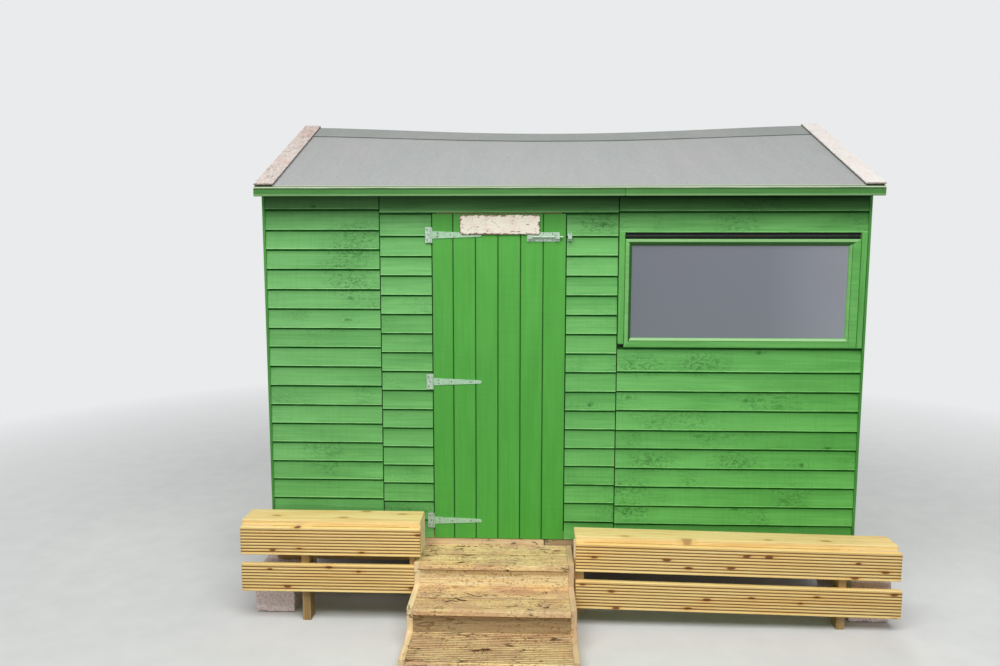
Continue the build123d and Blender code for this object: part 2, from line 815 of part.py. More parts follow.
with BuildPart() as step_risers:
    riser_feet = [top - tread_thickness for top in tread_tops[1:]] + [0]
    for face, top, foot in zip(riser_faces, tread_tops, riser_feet):
        block(tread_x0, tread_x1, face, face + riser_thickness, foot,
              top - tread_thickness - seat_gap)
save(step_risers, "step_risers")

# Benches: the seat board lies level with the top of the upper fascia, behind its edge
fascia_back_face = front - bench_front + bench_board
benches = (
    ("left", left - left_bench_overhang, step_x0 + left_bench_lap, left_bench_top, 0.0,
     step_x0 - seat_gap, 0.0, left_seat_width),
    ("right", step_x1 + right_bench_gap, right + right_bench_overhang, right_bench_top,
     right_bench_fall, right + right_bench_overhang + right_lower_reach, right_seat_inset,
     right_seat_width))


def seat_underside(x, start, end, top, fall):
    """Height of the underside of a bench's seat at a place along it."""
    return floor + top - bench_board - fall * (x - start) / (end - start)


def bench_plane(y, z, start, end, fall):
    """Plane across the left end of a bench whose z runs along the bench and its fall."""
    return Plane(origin=(start, y, z), x_dir=(0, 1, 0), z_dir=(end - start, 0, -fall))


for side, start, end, top, fall, lower_end, seat_inset, seat_width in benches:
    with BuildPart() as fascias:
        middle = seat_underside(start, start, end, top, fall) - bench_fascia_height / 2
        for drop, stop in ((0.0, end), (bench_fascia_height + bench_fascia_gap, lower_end)):
            across = bench_plane(front - bench_front, middle - drop, start, end, fall)
            extrude(across * board_profile(bench_fascia_height, bench_board),
                    amount=stop - start)
    save(fascias, f"bench_{side}_fascias")

with BuildPart() as bench_seats:
    for side, start, end, top, fall, lower_end, seat_inset, seat_width in benches:
        across = bench_plane(fascia_back_face, floor + top - bench_board / 2, start, end, fall)
        with BuildSketch(across) as seat_end:
            with Locations((seat_width / 2, 0)):
                Rectangle(seat_width, bench_board)
                corners = seat_end.vertices().group_by(Axis.Z)[-1]
                fillet(corners, radius=seat_round)
        extrude(amount=end - seat_inset - start)
save(bench_seats, "bench_seats")

with BuildPart() as bench_posts:
    for x, (side, start, end, top, fall, lower_end, seat_inset, seat_width) in zip(
            (benches[0][1] + left_post_inset, benches[1][2] - right_post_inset), benches):
        post_top = seat_underside(x + post_width, start, end, top, fall) - seat_gap
        block(x, x + post_width, fascia_back_face + seat_gap,
              fascia_back_face + post_depth, 0, post_top)
    for x, width, bench in ((step_x0 - seat_gap - left_batten_width, left_batten_width, benches[0]),
                            (step_x1 + seat_gap, right_batten_width, benches[1])):
        side, start, end, top, fall, lower_end, seat_inset, seat_width = bench
        batten_top = seat_underside(x + width, start, end, top, fall) - seat_gap
        batten_foot = batten_top - 2 * bench_fascia_height - bench_fascia_gap - batten_tail
        block(x, x + width, fascia_back_face + seat_gap, fascia_back_face + stud_width,
              batten_foot, batten_top)
    side, start, end, top, fall, lower_end, seat_inset, seat_width = benches[0]
    cheek_top = seat_underside(end, start, end, top, fall) - seat_gap
    block(end - cheek_thickness, end, fascia_back_face + seat_gap, fascia_back_face + seat_width,
          cheek_top - bench_fascia_height, cheek_top)
save(bench_posts, "bench_posts")
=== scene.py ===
from math import cos, pi, radians, sin
from random import Random

import bmesh
import bpy
from mathutils import Matrix, Vector, noise


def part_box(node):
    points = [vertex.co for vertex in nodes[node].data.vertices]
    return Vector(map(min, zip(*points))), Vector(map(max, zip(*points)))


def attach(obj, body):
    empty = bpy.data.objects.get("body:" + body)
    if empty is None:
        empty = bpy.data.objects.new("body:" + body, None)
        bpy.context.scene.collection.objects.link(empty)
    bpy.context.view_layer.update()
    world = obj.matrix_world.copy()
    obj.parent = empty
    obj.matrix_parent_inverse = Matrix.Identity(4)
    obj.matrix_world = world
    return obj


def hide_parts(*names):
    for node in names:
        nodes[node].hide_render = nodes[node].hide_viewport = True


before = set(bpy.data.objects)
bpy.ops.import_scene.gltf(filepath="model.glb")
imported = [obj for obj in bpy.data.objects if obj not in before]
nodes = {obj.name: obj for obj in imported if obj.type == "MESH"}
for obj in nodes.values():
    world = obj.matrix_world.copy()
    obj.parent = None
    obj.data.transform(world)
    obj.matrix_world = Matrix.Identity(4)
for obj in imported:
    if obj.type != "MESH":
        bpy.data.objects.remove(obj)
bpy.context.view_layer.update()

# Green timber shed with steps and benches. Metres, in the part's own frame: +X runs along the
# front wall to the right, the front wall faces -Y, and the ground is at z = 0.

scene = bpy.context.scene
scene.view_settings.view_transform = "Standard"

# Places read from the solids
wall_lo, wall_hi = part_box("left_panel_cladding")
front_y = wall_lo.y
left_x = wall_lo.x
cladding_top = wall_hi.z
window_wall_lo, window_wall_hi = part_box("window_lower_cladding")
right_x = window_wall_hi.x
back_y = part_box("back_cladding")[1].y
floor_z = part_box("floor_boards")[1].z
roof_lo, roof_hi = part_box("felt_front")
pane_lo, pane_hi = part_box("window_pane")


def linear(red, green, blue):
    """Screen colour from 0 to 255 as the linear colour that Blender's shaders take."""
    def channel(value):
        value = value / 255
        return value / 12.92 if value <= 0.04045 else ((value + 0.055) / 1.055) ** 2.4
    return channel(red), channel(green), channel(blue), 1.0


def palette(*colours):
    return tuple(linear(*colour) for colour in colours)


# Paints: deep, middle and pale, and the dark of knots and bare patches
GREENS = palette((103, 168, 96), (117, 184, 108), (130, 197, 121), (28, 84, 32))
DOOR_GREENS = palette((82, 161, 66), (86, 167, 70), (91, 172, 75), (50, 108, 42))
FASCIA_GREENS = palette((66, 119, 55), (74, 131, 63), (84, 144, 72), (38, 80, 32))
TRIM_GREENS = palette((90, 161, 77), (100, 174, 87), (112, 185, 98), (52, 98, 46))
CORNER_GREENS = palette((66, 132, 56), (74, 144, 63), (84, 154, 72), (40, 84, 36))

# Timbers: pale, middle, growth rings and knots
DECK_COLOURS = palette((253, 233, 168), (247, 217, 145), (224, 178, 102), (104, 62, 38))
REED_COLOURS = palette((255, 235, 165), (254, 219, 141), (236, 187, 106), (104, 56, 40))
POST_COLOURS = palette((192, 162, 108), (172, 144, 94), (142, 112, 68), (84, 54, 34))
STEP_COLOURS = palette((255, 240, 182), (255, 223, 160), (224, 176, 114), (90, 54, 34))
RISER_COLOURS = palette((255, 243, 194), (255, 234, 178), (234, 198, 138), (120, 78, 46))
SIDE_COLOURS = palette((255, 240, 192), (254, 228, 176), (236, 196, 146), (100, 68, 50))
FRAME_COLOURS = palette((222, 190, 142), (208, 172, 122), (184, 142, 92), (96, 62, 38))
GREY_COLOURS = palette((216, 208, 202), (202, 193, 186), (172, 154, 142), (112, 92, 80))
EDGE_COLOURS = palette((236, 216, 170), (222, 198, 156), (190, 158, 122), (92, 66, 48))

# Metals: pale, middle, dull and rust. Felts: pale, middle and dull
ZINC = palette((190, 212, 192), (163, 188, 165), (116, 138, 120), (70, 80, 68))
DULL_ZINC = palette((118, 138, 120), (100, 118, 102), (76, 90, 78), (50, 52, 46))
STRAP_ZINC = palette((176, 210, 178), (154, 192, 157), (122, 150, 124), (90, 100, 84))
ROOF_FELT = palette((178, 180, 178), (165, 167, 165), (144, 147, 144))
RIDGE_FELT = palette((160, 164, 160), (147, 151, 147), (126, 131, 126))

WHITE = (1.0, 1.0, 1.0, 1)
BACKDROP = linear(234, 235, 236)

# Painted shadow of the eaves on the front wall: how far below the eaves, and how strong there
eaves_shadow = ((0.28, 0.0), (0.21, 0.12), (0.153, 0.21), (0.131, 0.28), (0.098, 0.385), (0.087, 0.45),
               (0.065, 0.55), (0.043, 0.66), (0.032, 0.75))

# Places of the knots and of the rough, thinly painted patches on the front wall, as (x, z), and
# how their patterns are stretched
front_knots = ((-1.09, 1.64), (-1.11, 1.53), (-1.27, 2.11), (0.21, 2.02), (1.01, 1.37), (0.95, 1.12),
               (0.71, 0.93), (1.38, 0.87), (1.25, 0.78), (0.35, 1.13), (0.92, 0.54), (0.15, 1.09))
rough_patches = ((-1.06, 1.97), (-1.09, 1.88), (-1.12, 1.79), (-1.08, 1.71), (0.40, 1.30), (0.71, 1.31),
                 (0.47, 0.79), (0.91, 0.79), (0.36, 0.64), (0.35, 0.53), (0.19, 2.03))
knot_stretch = (0.55, 0.0, 1.0)
patch_stretch = (0.45, 0.0, 1.0)
# How far the patterns move on from one board to the next
board_shift = (17.3, 9.1, 5.7)
# The joint in the front edge board of the floor, and the height above which a post's end is pale
floor_butt = -0.08
post_end_height = 0.35


def feed(tree, socket, value):
    """Sets a socket, or links it where the value is another node's output."""
    if isinstance(value, bpy.types.NodeSocket):
        tree.links.new(value, socket)
    else:
        socket.default_value = value


def add_node(tree, kind, sockets=(), **settings):
    """New shader node with its settings, and with sockets fed by their names or numbers."""
    node = tree.nodes.new("ShaderNode" + kind)
    for name, value in settings.items():
        setattr(node, name, value)
    for name, value in dict(sockets).items():
        feed(tree, node.inputs[name], value)
    return node


class Shading:
    """One material's node tree, with a short call for each kind of node that it uses. axis is the
    one that its grain runs along."""

    def __init__(self, name, axis="x"):
        self.material = bpy.data.materials.new(name)
        self.material.use_nodes = True
        self.tree = self.material.node_tree
        self.shader = self.tree.nodes["Principled BSDF"]
        self.place = self.node("TexCoord").outputs["Object"]
        self.axis = axis

    def node(self, kind, sockets=(), **settings):
        return add_node(self.tree, kind, sockets, **settings)

    def shift(self):
        """Object place moved on by the board's own number, so that no two boards match."""
        return self.node("VectorMath", {0: self.attribute("board"), 1: board_shift, 2: self.place},
                         operation="MULTIPLY_ADD").outputs[0]

    def attribute(self, name):
        return self.node("Attribute", attribute_name=name).outputs["Fac"]

    def axes(self):
        return self.node("SeparateXYZ", {0: self.place}).outputs

    def scaled(self, vector, scale):
        return self.node("Mapping", {"Vector": vector, "Scale": scale}).outputs[0]

    def along(self, vector, length, width):
        """Place scaled for a pattern that runs along the grain."""
        return self.scaled(vector, tuple(length if name == self.axis else width for name in "xyz"))

    def noise(self, vector, scale=1.0, detail=4.0, rough=0.55, warp=0.0):
        return self.node("TexNoise", {"Vector": vector, "Scale": scale, "Detail": detail,
                                      "Roughness": rough, "Distortion": warp}).outputs["Fac"]

    def grain(self, vector, length, width, **settings):
        """Noise that runs along the grain."""
        return self.noise(self.along(vector, length, width), **settings)

    def cells(self, vector, scale, plane=None):
        """Distance from the nearest of scattered points, in space or on one plane of the axes."""
        if plane:
            split = self.node("SeparateXYZ", {0: vector}).outputs
            kept = [split["xyz".index(name)] for name in plane]
            vector = self.node("CombineXYZ", enumerate(kept)).outputs[0]
        return self.node("TexVoronoi", {"Vector": vector, "Scale": scale},
                         voronoi_dimensions="2D" if plane else "3D").outputs["Distance"]

    def ramp(self, value, *stops):
        """Colours or greys at the given places from 0 to 1."""
        node = self.node("ValToRGB", {"Fac": value})
        band = node.color_ramp
        while len(band.elements) < len(stops):
            band.elements.new(1.0)
        for element, (place, colour) in zip(band.elements, stops):
            element.position = place
            element.color = colour if isinstance(colour, tuple) else (colour, colour, colour, 1)
        return node.outputs["Color"]

    def step(self, pattern, start, full, share=1.0):
        """From nought where a pattern is at start to share where it is at full."""
        return self.ramp(pattern, (start, 0.0), (full, share))

    def math(self, operation, first, second=0.0):
        return self.node("Math", {0: first, 1: second}, operation=operation).outputs[0]

    def plus(self, first, second):
        return self.math("ADD", first, second)

    def times(self, first, second):
        return self.math("MULTIPLY", first, second)

    def blend(self, first, first_share, second, second_share):
        """Weighted sum of two patterns."""
        return self.plus(self.times(first, first_share), self.times(second, second_share))

    def mix(self, share, first, second, blend="MIX"):
        return self.node("Mix", {"Factor": share, 6: first, 7: second}, data_type="RGBA",
                         blend_type=blend).outputs[2]

    def cover(self, under, colour, pattern, start, full, share=1.0):
        """Colour laid over another, from none where a pattern is at start to its share at full."""
        return self.mix(self.step(pattern, start, full, share), under, colour)

    def nearest(self, spots, scale):
        """Distance from the nearest of some places on the front wall, on stretched axes."""
        place = self.scaled(self.place, scale)
        best = None
        for x, z in spots:
            spot = (x * scale[0], 0.0, z * scale[2])
            away = self.node("VectorMath", {0: place, 1: spot}, operation="DISTANCE").outputs["Value"]
            best = away if best is None else self.math("MINIMUM", best, away)
        return best

    def painted_light_tint(self, eaves):
        """Painted light over the shed's paint: paler and cooler high on the left, deeper low on the right,
        and painted shadow just under the eaves of a wall that has them, deeper towards the right."""
        x, y, z = self.axes()
        along = self.times(self.plus(x, -left_x), 0.55 / (right_x - left_x))
        down = self.times(self.math("SUBTRACT", cladding_top, z), 0.45 / (cladding_top - floor_z))
        tint = self.ramp(self.plus(along, down), (0.15, WHITE), (0.6, (0.88, 1.0, 0.82, 1)),
                         (0.85, (0.72, 0.94, 0.58, 1)))
        if not eaves:
            return tint
        # Painted shadow of the eaves, darkest just below them and towards the right, mixed to near black
        stops = [((cladding_top - drop) / roof_hi.z, share) for drop, share in eaves_shadow]
        under = self.ramp(self.times(z, 1 / roof_hi.z), *stops)
        under = self.times(under, self.ramp(along, (0.1, 1.12), (0.32, 1.48), (0.5, 1.5)))
        return self.mix(under, tint, (0.0, 0.02, 0.01, 1))

    def bump(self, height, distance, strength=1.0):
        return self.node("Bump", {"Strength": strength, "Distance": distance, "Height": height}).outputs[0]

    def finish(self, colour, roughness, normal=None, metallic=0.0, specular=0.5):
        sockets = {"Base Color": colour, "Roughness": roughness, "Metallic": metallic,
                   "Specular IOR Level": specular}
        if normal is not None:
            sockets["Normal"] = normal
        for name, value in sockets.items():
            feed(self.tree, self.shader.inputs[name], value)
        return self.material


def bare_patches(s, place, placed):
    """Flecks and streaks of thin paint, gathered in patches that are placed or scattered."""
    patch = s.step(s.noise(place, scale=2.3, detail=2, rough=0.5, warp=0.6), 0.55, 0.68, 0.7)
    if placed:
        near = s.nearest(rough_patches, patch_stretch)
        patch = s.math("MAXIMUM", patch, s.ramp(near, (0.025, 1.0), (0.085, 0.0)))
    fleck = s.grain(place, 48, 80, detail=5, rough=0.75, warp=0.9)
    streak = s.grain(place, 16, 230, detail=3, rough=0.6, warp=0.6)
    bare = s.math("MAXIMUM", s.step(fleck, 0.50, 0.57), s.step(streak, 0.55, 0.66, 0.6))
    return s.times(bare, patch)


def painted_boards(name, axis, colours, relief, lapped=False, blotch=1.0, saw_marks=0.06,
                   knots=None, light_tint=False, eaves=True):
    """Garden paint on sawn boards. Lapped boards carry painted shade below the lap above them and a
    painted highlight along the foot. Elsewhere a high tone darkens the joints and is painted shade in
    grooves, reveals and undersides, and a tone below nought is a painted highlight on an edge. Knots
    are given places, or scattered where there are none."""
    s = Shading(name, axis)
    deep, middle, pale, dark = colours
    place = s.shift()
    cloud = s.grain(place, 1.7, 9.0, detail=4, rough=0.55, warp=0.5)
    grain = s.grain(place, 2.6, 85, detail=5, rough=0.62, warp=0.6)
    fibre = s.grain(place, 26, 420, detail=3, rough=0.7)
    saw = s.grain(place, 75, 3, detail=3, rough=0.6)
    coat = s.blend(cloud, 0.5, grain, 0.5)
    paint = s.ramp(coat, (0.37, deep), (0.5, middle), (0.62, pale))
    own = s.noise(s.attribute("board"), scale=37.0, detail=0)
    paint = s.mix(s.ramp(own, (0.35, 0.3 * blotch), (0.5, 0.0)), paint, deep)
    paint = s.cover(paint, pale, own, 0.5, 0.65, 0.3 * blotch)
    zone = s.noise(s.place, scale=1.3, detail=1)
    comb = s.times(s.ramp(saw, (0.40, saw_marks), (0.52, 0.0)), s.ramp(zone, (0.42, 0.25), (0.6, 1.0)))
    paint = s.mix(comb, paint, dark)
    height = s.plus(s.blend(grain, 0.45, fibre, 0.35), s.times(saw, 0.5 * saw_marks))

    if blotch > 0.5:
        bare = bare_patches(s, place, knots is not None)
        paint = s.mix(s.times(bare, 0.54), paint, dark)
        height = s.plus(height, s.times(bare, -0.5))

    bend = s.times(s.noise(s.place, scale=42.0, detail=4, rough=0.65), 0.034)
    if knots:
        away = s.plus(s.nearest(knots, knot_stretch), bend)
    else:
        away = s.plus(s.times(s.cells(s.along(place, 2.3, 5.4), 1.0), 0.19), bend)
    core = s.ramp(away, (0.019, 1.0), (0.027, 0.0))
    rings = s.math("SINE", s.times(away, 520.0))
    swirl = s.times(s.step(rings, 0.3, 0.95), s.ramp(away, (0.026, 0.7), (0.06, 0.0)))
    paint = s.mix(s.times(swirl, 0.5 * blotch), paint, dark)
    paint = s.mix(s.times(core, 0.62 * blotch), paint, dark)
    height = s.plus(height, s.times(core, 0.4))

    tone = s.attribute("tone")
    if lapped:
        # Painted shade below each lap, fading down the board and broken up by a mottle
        lap_mottle = s.grain(place, 9, 20, detail=4, rough=0.6)
        lap_shade = s.ramp(tone, (0.25, 0.0), (0.70, 0.14), (0.885, 0.34), (0.915, 0.97), (1.0, 1.0))
        paint = s.mix(s.times(lap_shade, s.ramp(lap_mottle, (0.3, 0.9), (0.55, 1.0))), paint, linear(0, 78, 4))
        # Painted highlight along each board's foot
        lip = s.times(s.ramp(tone, (0.0, 1.0), (0.025, 0.8), (0.06, 0.0)),
                      s.ramp(lap_mottle, (0.36, 0.35), (0.55, 1.0)))
        paint = s.mix(lip, paint, linear(166, 232, 152))
    else:
        # Where the tone is high: dark joints, and painted shade in grooves, reveals and undersides
        paint = s.mix(s.times(tone, 0.94), paint, linear(16, 44, 16))
        # Painted highlight on edges where the tone is below nought
        paint = s.mix(s.times(tone, -0.85), paint, linear(168, 208, 150))
    # Painted light over the shed, with the painted shadow of the eaves
    if light_tint:
        paint = s.mix(1.0, paint, s.painted_light_tint(eaves), "MULTIPLY")
    rough = s.ramp(coat, (0.35, 0.60), (0.62, 0.46))
    return s.finish(paint, rough, s.bump(height, relief), specular=0.1 if lapped else 0.22)


def bare_timber(name, axis, colours, relief, groove=None, cracks=0.0, weather=0.0, specks=0.0,
                knot_share=1.0, knot_pitch=(3.3, 8.5), plane=None, ends=None, shaded_front=False, butt=None):
    """Bare softwood: growth rings that run along the board and knots. Where a point's tone is high the
    groove colour comes in, grime with painted shade in grooves, under nosings and on shaded boards;
    below nought the tone is painted shadow. Sawn ends are pale above the height ends. A timber with a
    shaded front has painted shade just behind the front boarding, where it shows through the gaps
    round the door. A butt is the place along X of a joint, beyond which the board is darker."""
    s = Shading(name, axis)
    pale, middle, ring_colour, knot_colour = colours
    place = s.shift()
    slow = s.grain(place, 1.6, 9, detail=3, rough=0.5)
    bend = s.grain(place, 9, 24, detail=3, rough=0.6)
    cell = s.plus(s.cells(s.along(place, *knot_pitch), 1.0, plane), s.times(bend, 0.11))
    swell = s.times(s.ramp(cell, (0.04, 1.0), (0.22, 0.0)), 0.16)
    rings = s.plus(s.grain(place, 1.3, 62, detail=5, rough=0.62, warp=1.1), swell)
    fibre = s.grain(place, 20, 420, detail=3, rough=0.65)
    wood = s.ramp(rings, (0.30, pale), (0.50, middle), (0.66, ring_colour), (0.74, middle))
    wood = s.cover(wood, pale, slow, 0.35, 0.7, 0.55)
    wood = s.cover(wood, ring_colour, fibre, 0.42, 0.68, 0.35 + 0.4 * specks)
    halo = s.ramp(cell, (0.10, 1.0), (0.15, 0.5), (0.22, 0.0))
    heart = s.ramp(cell, (0.10, 0.9), (0.13, 0.0))
    wood = s.mix(s.times(halo, 0.6 * knot_share), wood, ring_colour)
    wood = s.mix(s.times(heart, knot_share), wood, knot_colour)
    height = s.blend(rings, 0.5, fibre, 0.5)
    if weather:
        stain = s.noise(place, scale=4.5, detail=5, rough=0.6, warp=0.8)
        wood = s.cover(wood, linear(190, 142, 124), stain, 0.44, 0.62, weather)
    if specks:
        streaks = s.grain(place, 6, 210, detail=4, rough=0.7, warp=0.5)
        wood = s.cover(wood, linear(146, 98, 56), streaks, 0.50, 0.64, 0.8 * specks)
        fine = s.grain(place, 75, 120, detail=3, rough=0.65, warp=0.4)
        marks = s.noise(place, scale=6.0, detail=3, rough=0.6)
        spots = s.times(s.step(fine, 0.56, 0.63), s.ramp(marks, (0.38, 0.25), (0.58, specks)))
        wood = s.mix(spots, wood, linear(84, 44, 18))
    if cracks:
        split = s.grain(place, 11, 38, detail=5, rough=0.66, warp=1.6)
        zone = s.noise(place, scale=5.0, detail=2)
        crack = s.times(s.step(split, 0.575, 0.60), s.step(zone, 0.48, 0.53, cracks))
        wood = s.mix(crack, wood, linear(34, 16, 6))
        height = s.plus(height, s.times(crack, -1.2))
    if groove is not None:
        tone = s.attribute("tone")
        # High tone: the groove colour, for grime with painted shade
        wood = s.mix(s.times(tone, 0.95), wood, groove)
        # Tone below nought: painted shadow, as under the verge boards
        wood = s.mix(s.times(tone, -0.95), wood, linear(22, 16, 12))
    x, y, z = s.axes()
    if ends:
        wood = s.cover(wood, linear(252, 230, 196), z, ends, ends + 0.004, 0.9)
    if shaded_front:
        # Painted shade just behind the front boarding, seen through the gaps round the door
        behind = s.times(s.plus(y, -front_y), 30.0)
        wood = s.mix(s.ramp(behind, (0.45, 1.0), (0.9, 0.0)), wood, linear(20, 32, 18))
    if butt is not None:
        beyond = s.times(s.plus(x, -butt), 50.0)
        wood = s.cover(wood, knot_colour, beyond, 0.0, 0.02, 0.55)
        gap = s.math("ABSOLUTE", beyond)
        wood = s.mix(s.ramp(gap, (0.09, 0.95), (0.13, 0.0)), wood, linear(20, 12, 8))
    rough = s.ramp(rings, (0.3, 0.62), (0.7, 0.78))
    return s.finish(wood, rough, s.bump(height, relief), specular=0.08 if cracks else 0.3)


def mineral_felt(name, shades, edge):
    """Green-grey mineral felt: slate chips, faint runs down the slope and a turned edge."""
    s = Shading(name)
    pale, middle, dull = shades
    chips = s.cells(s.place, 420.0)
    grit = s.noise(s.place, scale=650.0, detail=2, rough=0.6)
    runs = s.grain(s.place, 14, 2.2, detail=4, rough=0.6, warp=0.4)
    cloud = s.noise(s.place, scale=2.6, detail=4, rough=0.6)
    mottle = s.noise(s.place, scale=55.0, detail=4, rough=0.7)
    felt = s.ramp(chips, (0.05, pale), (0.45, middle), (0.8, dull))
    felt = s.cover(felt, pale, grit, 0.55, 0.8, 0.5)
    felt = s.cover(felt, dull, mottle, 0.42, 0.72, 0.5)
    felt = s.cover(felt, dull, runs, 0.4, 0.75, 0.3)
    felt = s.cover(felt, linear(168, 160, 162), cloud, 0.45, 0.75, 0.35)
    felt = s.mix(s.times(s.attribute("tone"), 0.85), felt, edge)
    height = s.blend(chips, 0.6, grit, 0.4)
    return s.finish(felt, 0.9, s.bump(height, 0.0009), specular=0.25)


def zinc_coating(name, colours, roughness):
    """Galvanised steel: cloudy spangle, dull patches and a little rust."""
    s = Shading(name)
    pale, middle, dull, rust = colours
    spangle = s.cells(s.place, 260.0)
    cloud = s.noise(s.place, scale=60.0, detail=5, rough=0.6)
    stain = s.noise(s.place, scale=24.0, detail=6, rough=0.7, warp=0.8)
    metal = s.ramp(s.blend(spangle, 0.4, cloud, 0.6), (0.25, dull), (0.42, middle), (0.62, pale))
    metal = s.cover(metal, rust, stain, 0.60, 0.70, 0.75)
    rough = s.ramp(cloud, (0.3, roughness - 0.08), (0.7, roughness + 0.12))
    return s.finish(metal, rough, s.bump(cloud, 0.0003), metallic=0.15)


def pebbly_concrete():
    """Cast block with pink and grey pebbles showing at its worn faces."""
    s = Shading("pebbly concrete")
    pebble = s.cells(s.place, 95.0)
    sand = s.noise(s.place, scale=300.0, detail=3, rough=0.7)
    tint = s.noise(s.place, scale=70.0, detail=2)
    stain = s.noise(s.place, scale=6.0, detail=4, rough=0.6)
    dusk, blush, light = palette((252, 216, 206), (255, 236, 228), (255, 248, 242))
    stone = s.ramp(tint, (0.3, dusk), (0.5, blush), (0.7, light))
    stone = s.cover(stone, linear(212, 190, 182), pebble, 0.52, 0.78, 0.7)
    stone = s.cover(stone, linear(238, 230, 222), sand, 0.5, 0.8, 0.4)
    stone = s.cover(stone, linear(226, 210, 200), stain, 0.5, 0.75, 0.5)
    height = s.blend(pebble, -1.0, sand, 0.3)
    return s.finish(stone, 0.88, s.bump(height, 0.004), specular=0.3)


def frosted_pane():
    """Obscured pane with a soft sheen, and a painted reflection that makes it paler towards one side."""
    s = Shading("frosted pane")
    cloud = s.noise(s.place, scale=1.1, detail=2, rough=0.4, warp=0.3)
    x, y, z = s.axes()
    along = s.times(s.plus(x, -pane_lo.x), 1 / (pane_hi.x - pane_lo.x))
    # Painted reflection: paler towards the right
    tint = s.mix(s.ramp(along, (0.0, 0.0), (0.62, 0.25), (1.0, 1.0)), linear(104, 109, 118),
                 linear(143, 147, 156))
    tint = s.cover(tint, linear(126, 116, 128), cloud, 0.42, 0.66, 0.35)
    dapple = s.noise(s.place, scale=420.0, detail=2)
    return s.finish(tint, 0.42, s.bump(dapple, 0.0002, strength=0.5))


def black_rubber():
    """Dusty black rubber, greyer where a point's tone is high."""
    s = Shading("black rubber")
    dust = s.grain(s.place, 9, 60, detail=5, rough=0.65)
    scuff = s.grain(s.place, 5, 400, detail=3, rough=0.6)
    black, dusty, grey = palette((6, 9, 8), (12, 18, 14), (34, 42, 36))
    rubber = s.ramp(dust, (0.35, black), (0.6, dusty), (0.8, grey))
    rubber = s.mix(s.attribute("tone"), rubber, linear(86, 100, 88))
    return s.finish(rubber, s.ramp(scuff, (0.3, 0.6), (0.7, 0.8)), s.bump(scuff, 0.0004), specular=0.2)


def chipped_cream():
    """Cream paint worn through to brown at the edges and along the grain."""
    s = Shading("chipped cream")
    grain = s.noise(s.scaled(s.place, (9, 30, 120)), detail=5, rough=0.65, warp=0.5)
    chip = s.noise(s.scaled(s.place, (38, 60, 85)), detail=5, rough=0.7, warp=0.6)
    wear = s.plus(chip, s.times(s.attribute("tone"), 0.20))
    dull, clean, warm = palette((222, 212, 188), (240, 234, 216), (232, 222, 208))
    cream = s.ramp(grain, (0.3, dull), (0.5, clean), (0.7, warm))
    blush = s.noise(s.place, scale=22.0, detail=3)
    cream = s.cover(cream, linear(226, 196, 180), blush, 0.45, 0.7, 0.5)
    bare = s.step(wear, 0.60, 0.64)
    cream = s.mix(bare, cream, linear(128, 96, 84))
    return s.finish(cream, 0.6, s.bump(s.blend(grain, 0.35, bare, -0.5), 0.0008))


cladding_paint = painted_boards("cladding paint", "x", GREENS, 0.0010, lapped=True, knots=front_knots,
                                light_tint=True)
gable_paint = painted_boards("gable paint", "y", GREENS, 0.0010, lapped=True, light_tint=True, eaves=False)
door_paint = painted_boards("door paint", "z", DOOR_GREENS, 0.0003, blotch=0.3, saw_marks=0.05, light_tint=True)
fascia_paint = painted_boards("fascia paint", "x", FASCIA_GREENS, 0.0004, blotch=0.4, saw_marks=0.1)
trim_paint = painted_boards("trim paint", "x", TRIM_GREENS, 0.0004, blotch=0.3, saw_marks=0.08)
corner_paint = painted_boards("corner paint", "z", CORNER_GREENS, 0.0004, blotch=0.3, saw_marks=0.08)
upright_paint = painted_boards("upright paint", "z", TRIM_GREENS, 0.0004, blotch=0.3, saw_marks=0.08)
deck_wood = bare_timber("deck wood", "x", DECK_COLOURS, 0.0007, groove=linear(124, 76, 20), knot_share=0.5,
                        knot_pitch=(2.6, 7), plane="xy")
reed_wood = bare_timber("reeded wood", "x", REED_COLOURS, 0.0007, groove=linear(124, 70, 14),
                        knot_pitch=(3.4, 9.5), plane="xz")
step_wood = bare_timber("step wood", "x", STEP_COLOURS, 0.0016, groove=linear(116, 74, 38), cracks=0.95,
                        weather=0.48, specks=0.75)
riser_wood = bare_timber("riser wood", "x", RISER_COLOURS, 0.0012, groove=linear(112, 76, 40), cracks=0.5,
                         specks=0.6)
side_wood = bare_timber("step side wood", "y", SIDE_COLOURS, 0.0014, groove=linear(176, 130, 100),
                        cracks=0.7, weather=0.2)
post_wood = bare_timber("post wood", "z", POST_COLOURS, 0.0007, ends=post_end_height)
frame_wood = {axis: bare_timber(f"frame wood {axis}", axis, FRAME_COLOURS, 0.0006) for axis in "xyz"}
jamb_wood = bare_timber("jamb wood", "z", FRAME_COLOURS, 0.0006, shaded_front=True)
edge_wood = bare_timber("edge wood", "x", EDGE_COLOURS, 0.0012, cracks=0.8, weather=0.35, butt=floor_butt)
verge_wood = bare_timber("verge wood", "y", GREY_COLOURS, 0.0012, groove=linear(244, 242, 236), cracks=0.35,
                         weather=0.3)
felt = mineral_felt("roof felt", ROOF_FELT, linear(204, 214, 184))
ridge_felt = mineral_felt("ridge felt", RIDGE_FELT, linear(64, 68, 64))
zinc = zinc_coating("galvanised steel", ZINC, 0.46)
dull_zinc = zinc_coating("dull galvanised steel", DULL_ZINC, 0.5)
strap_zinc = zinc_coating("galvanised strap", STRAP_ZINC, 0.5)
concrete = pebbly_concrete()
pane = frosted_pane()
rubber = black_rubber()
cream_paint = chipped_cream()


def ripple(x, y, z, size):
    """Smooth wobble of about the given size that follows place."""
    return size * noise.noise(Vector((x, y, z)))


def stations(start, end, count, ease):
    """Places along a length, each with how far the section is drawn in there: eased at the ends."""
    inner = [(start + (end - start) * i / count, 0.0) for i in range(1, count)]
    return [(start, ease), (start + ease, 0.0), *inner, (end - ease, 0.0), (end, ease)]


def add_object(name, data):
    holder = bpy.data.objects.new(name, data)
    scene.collection.objects.link(holder)
    return holder


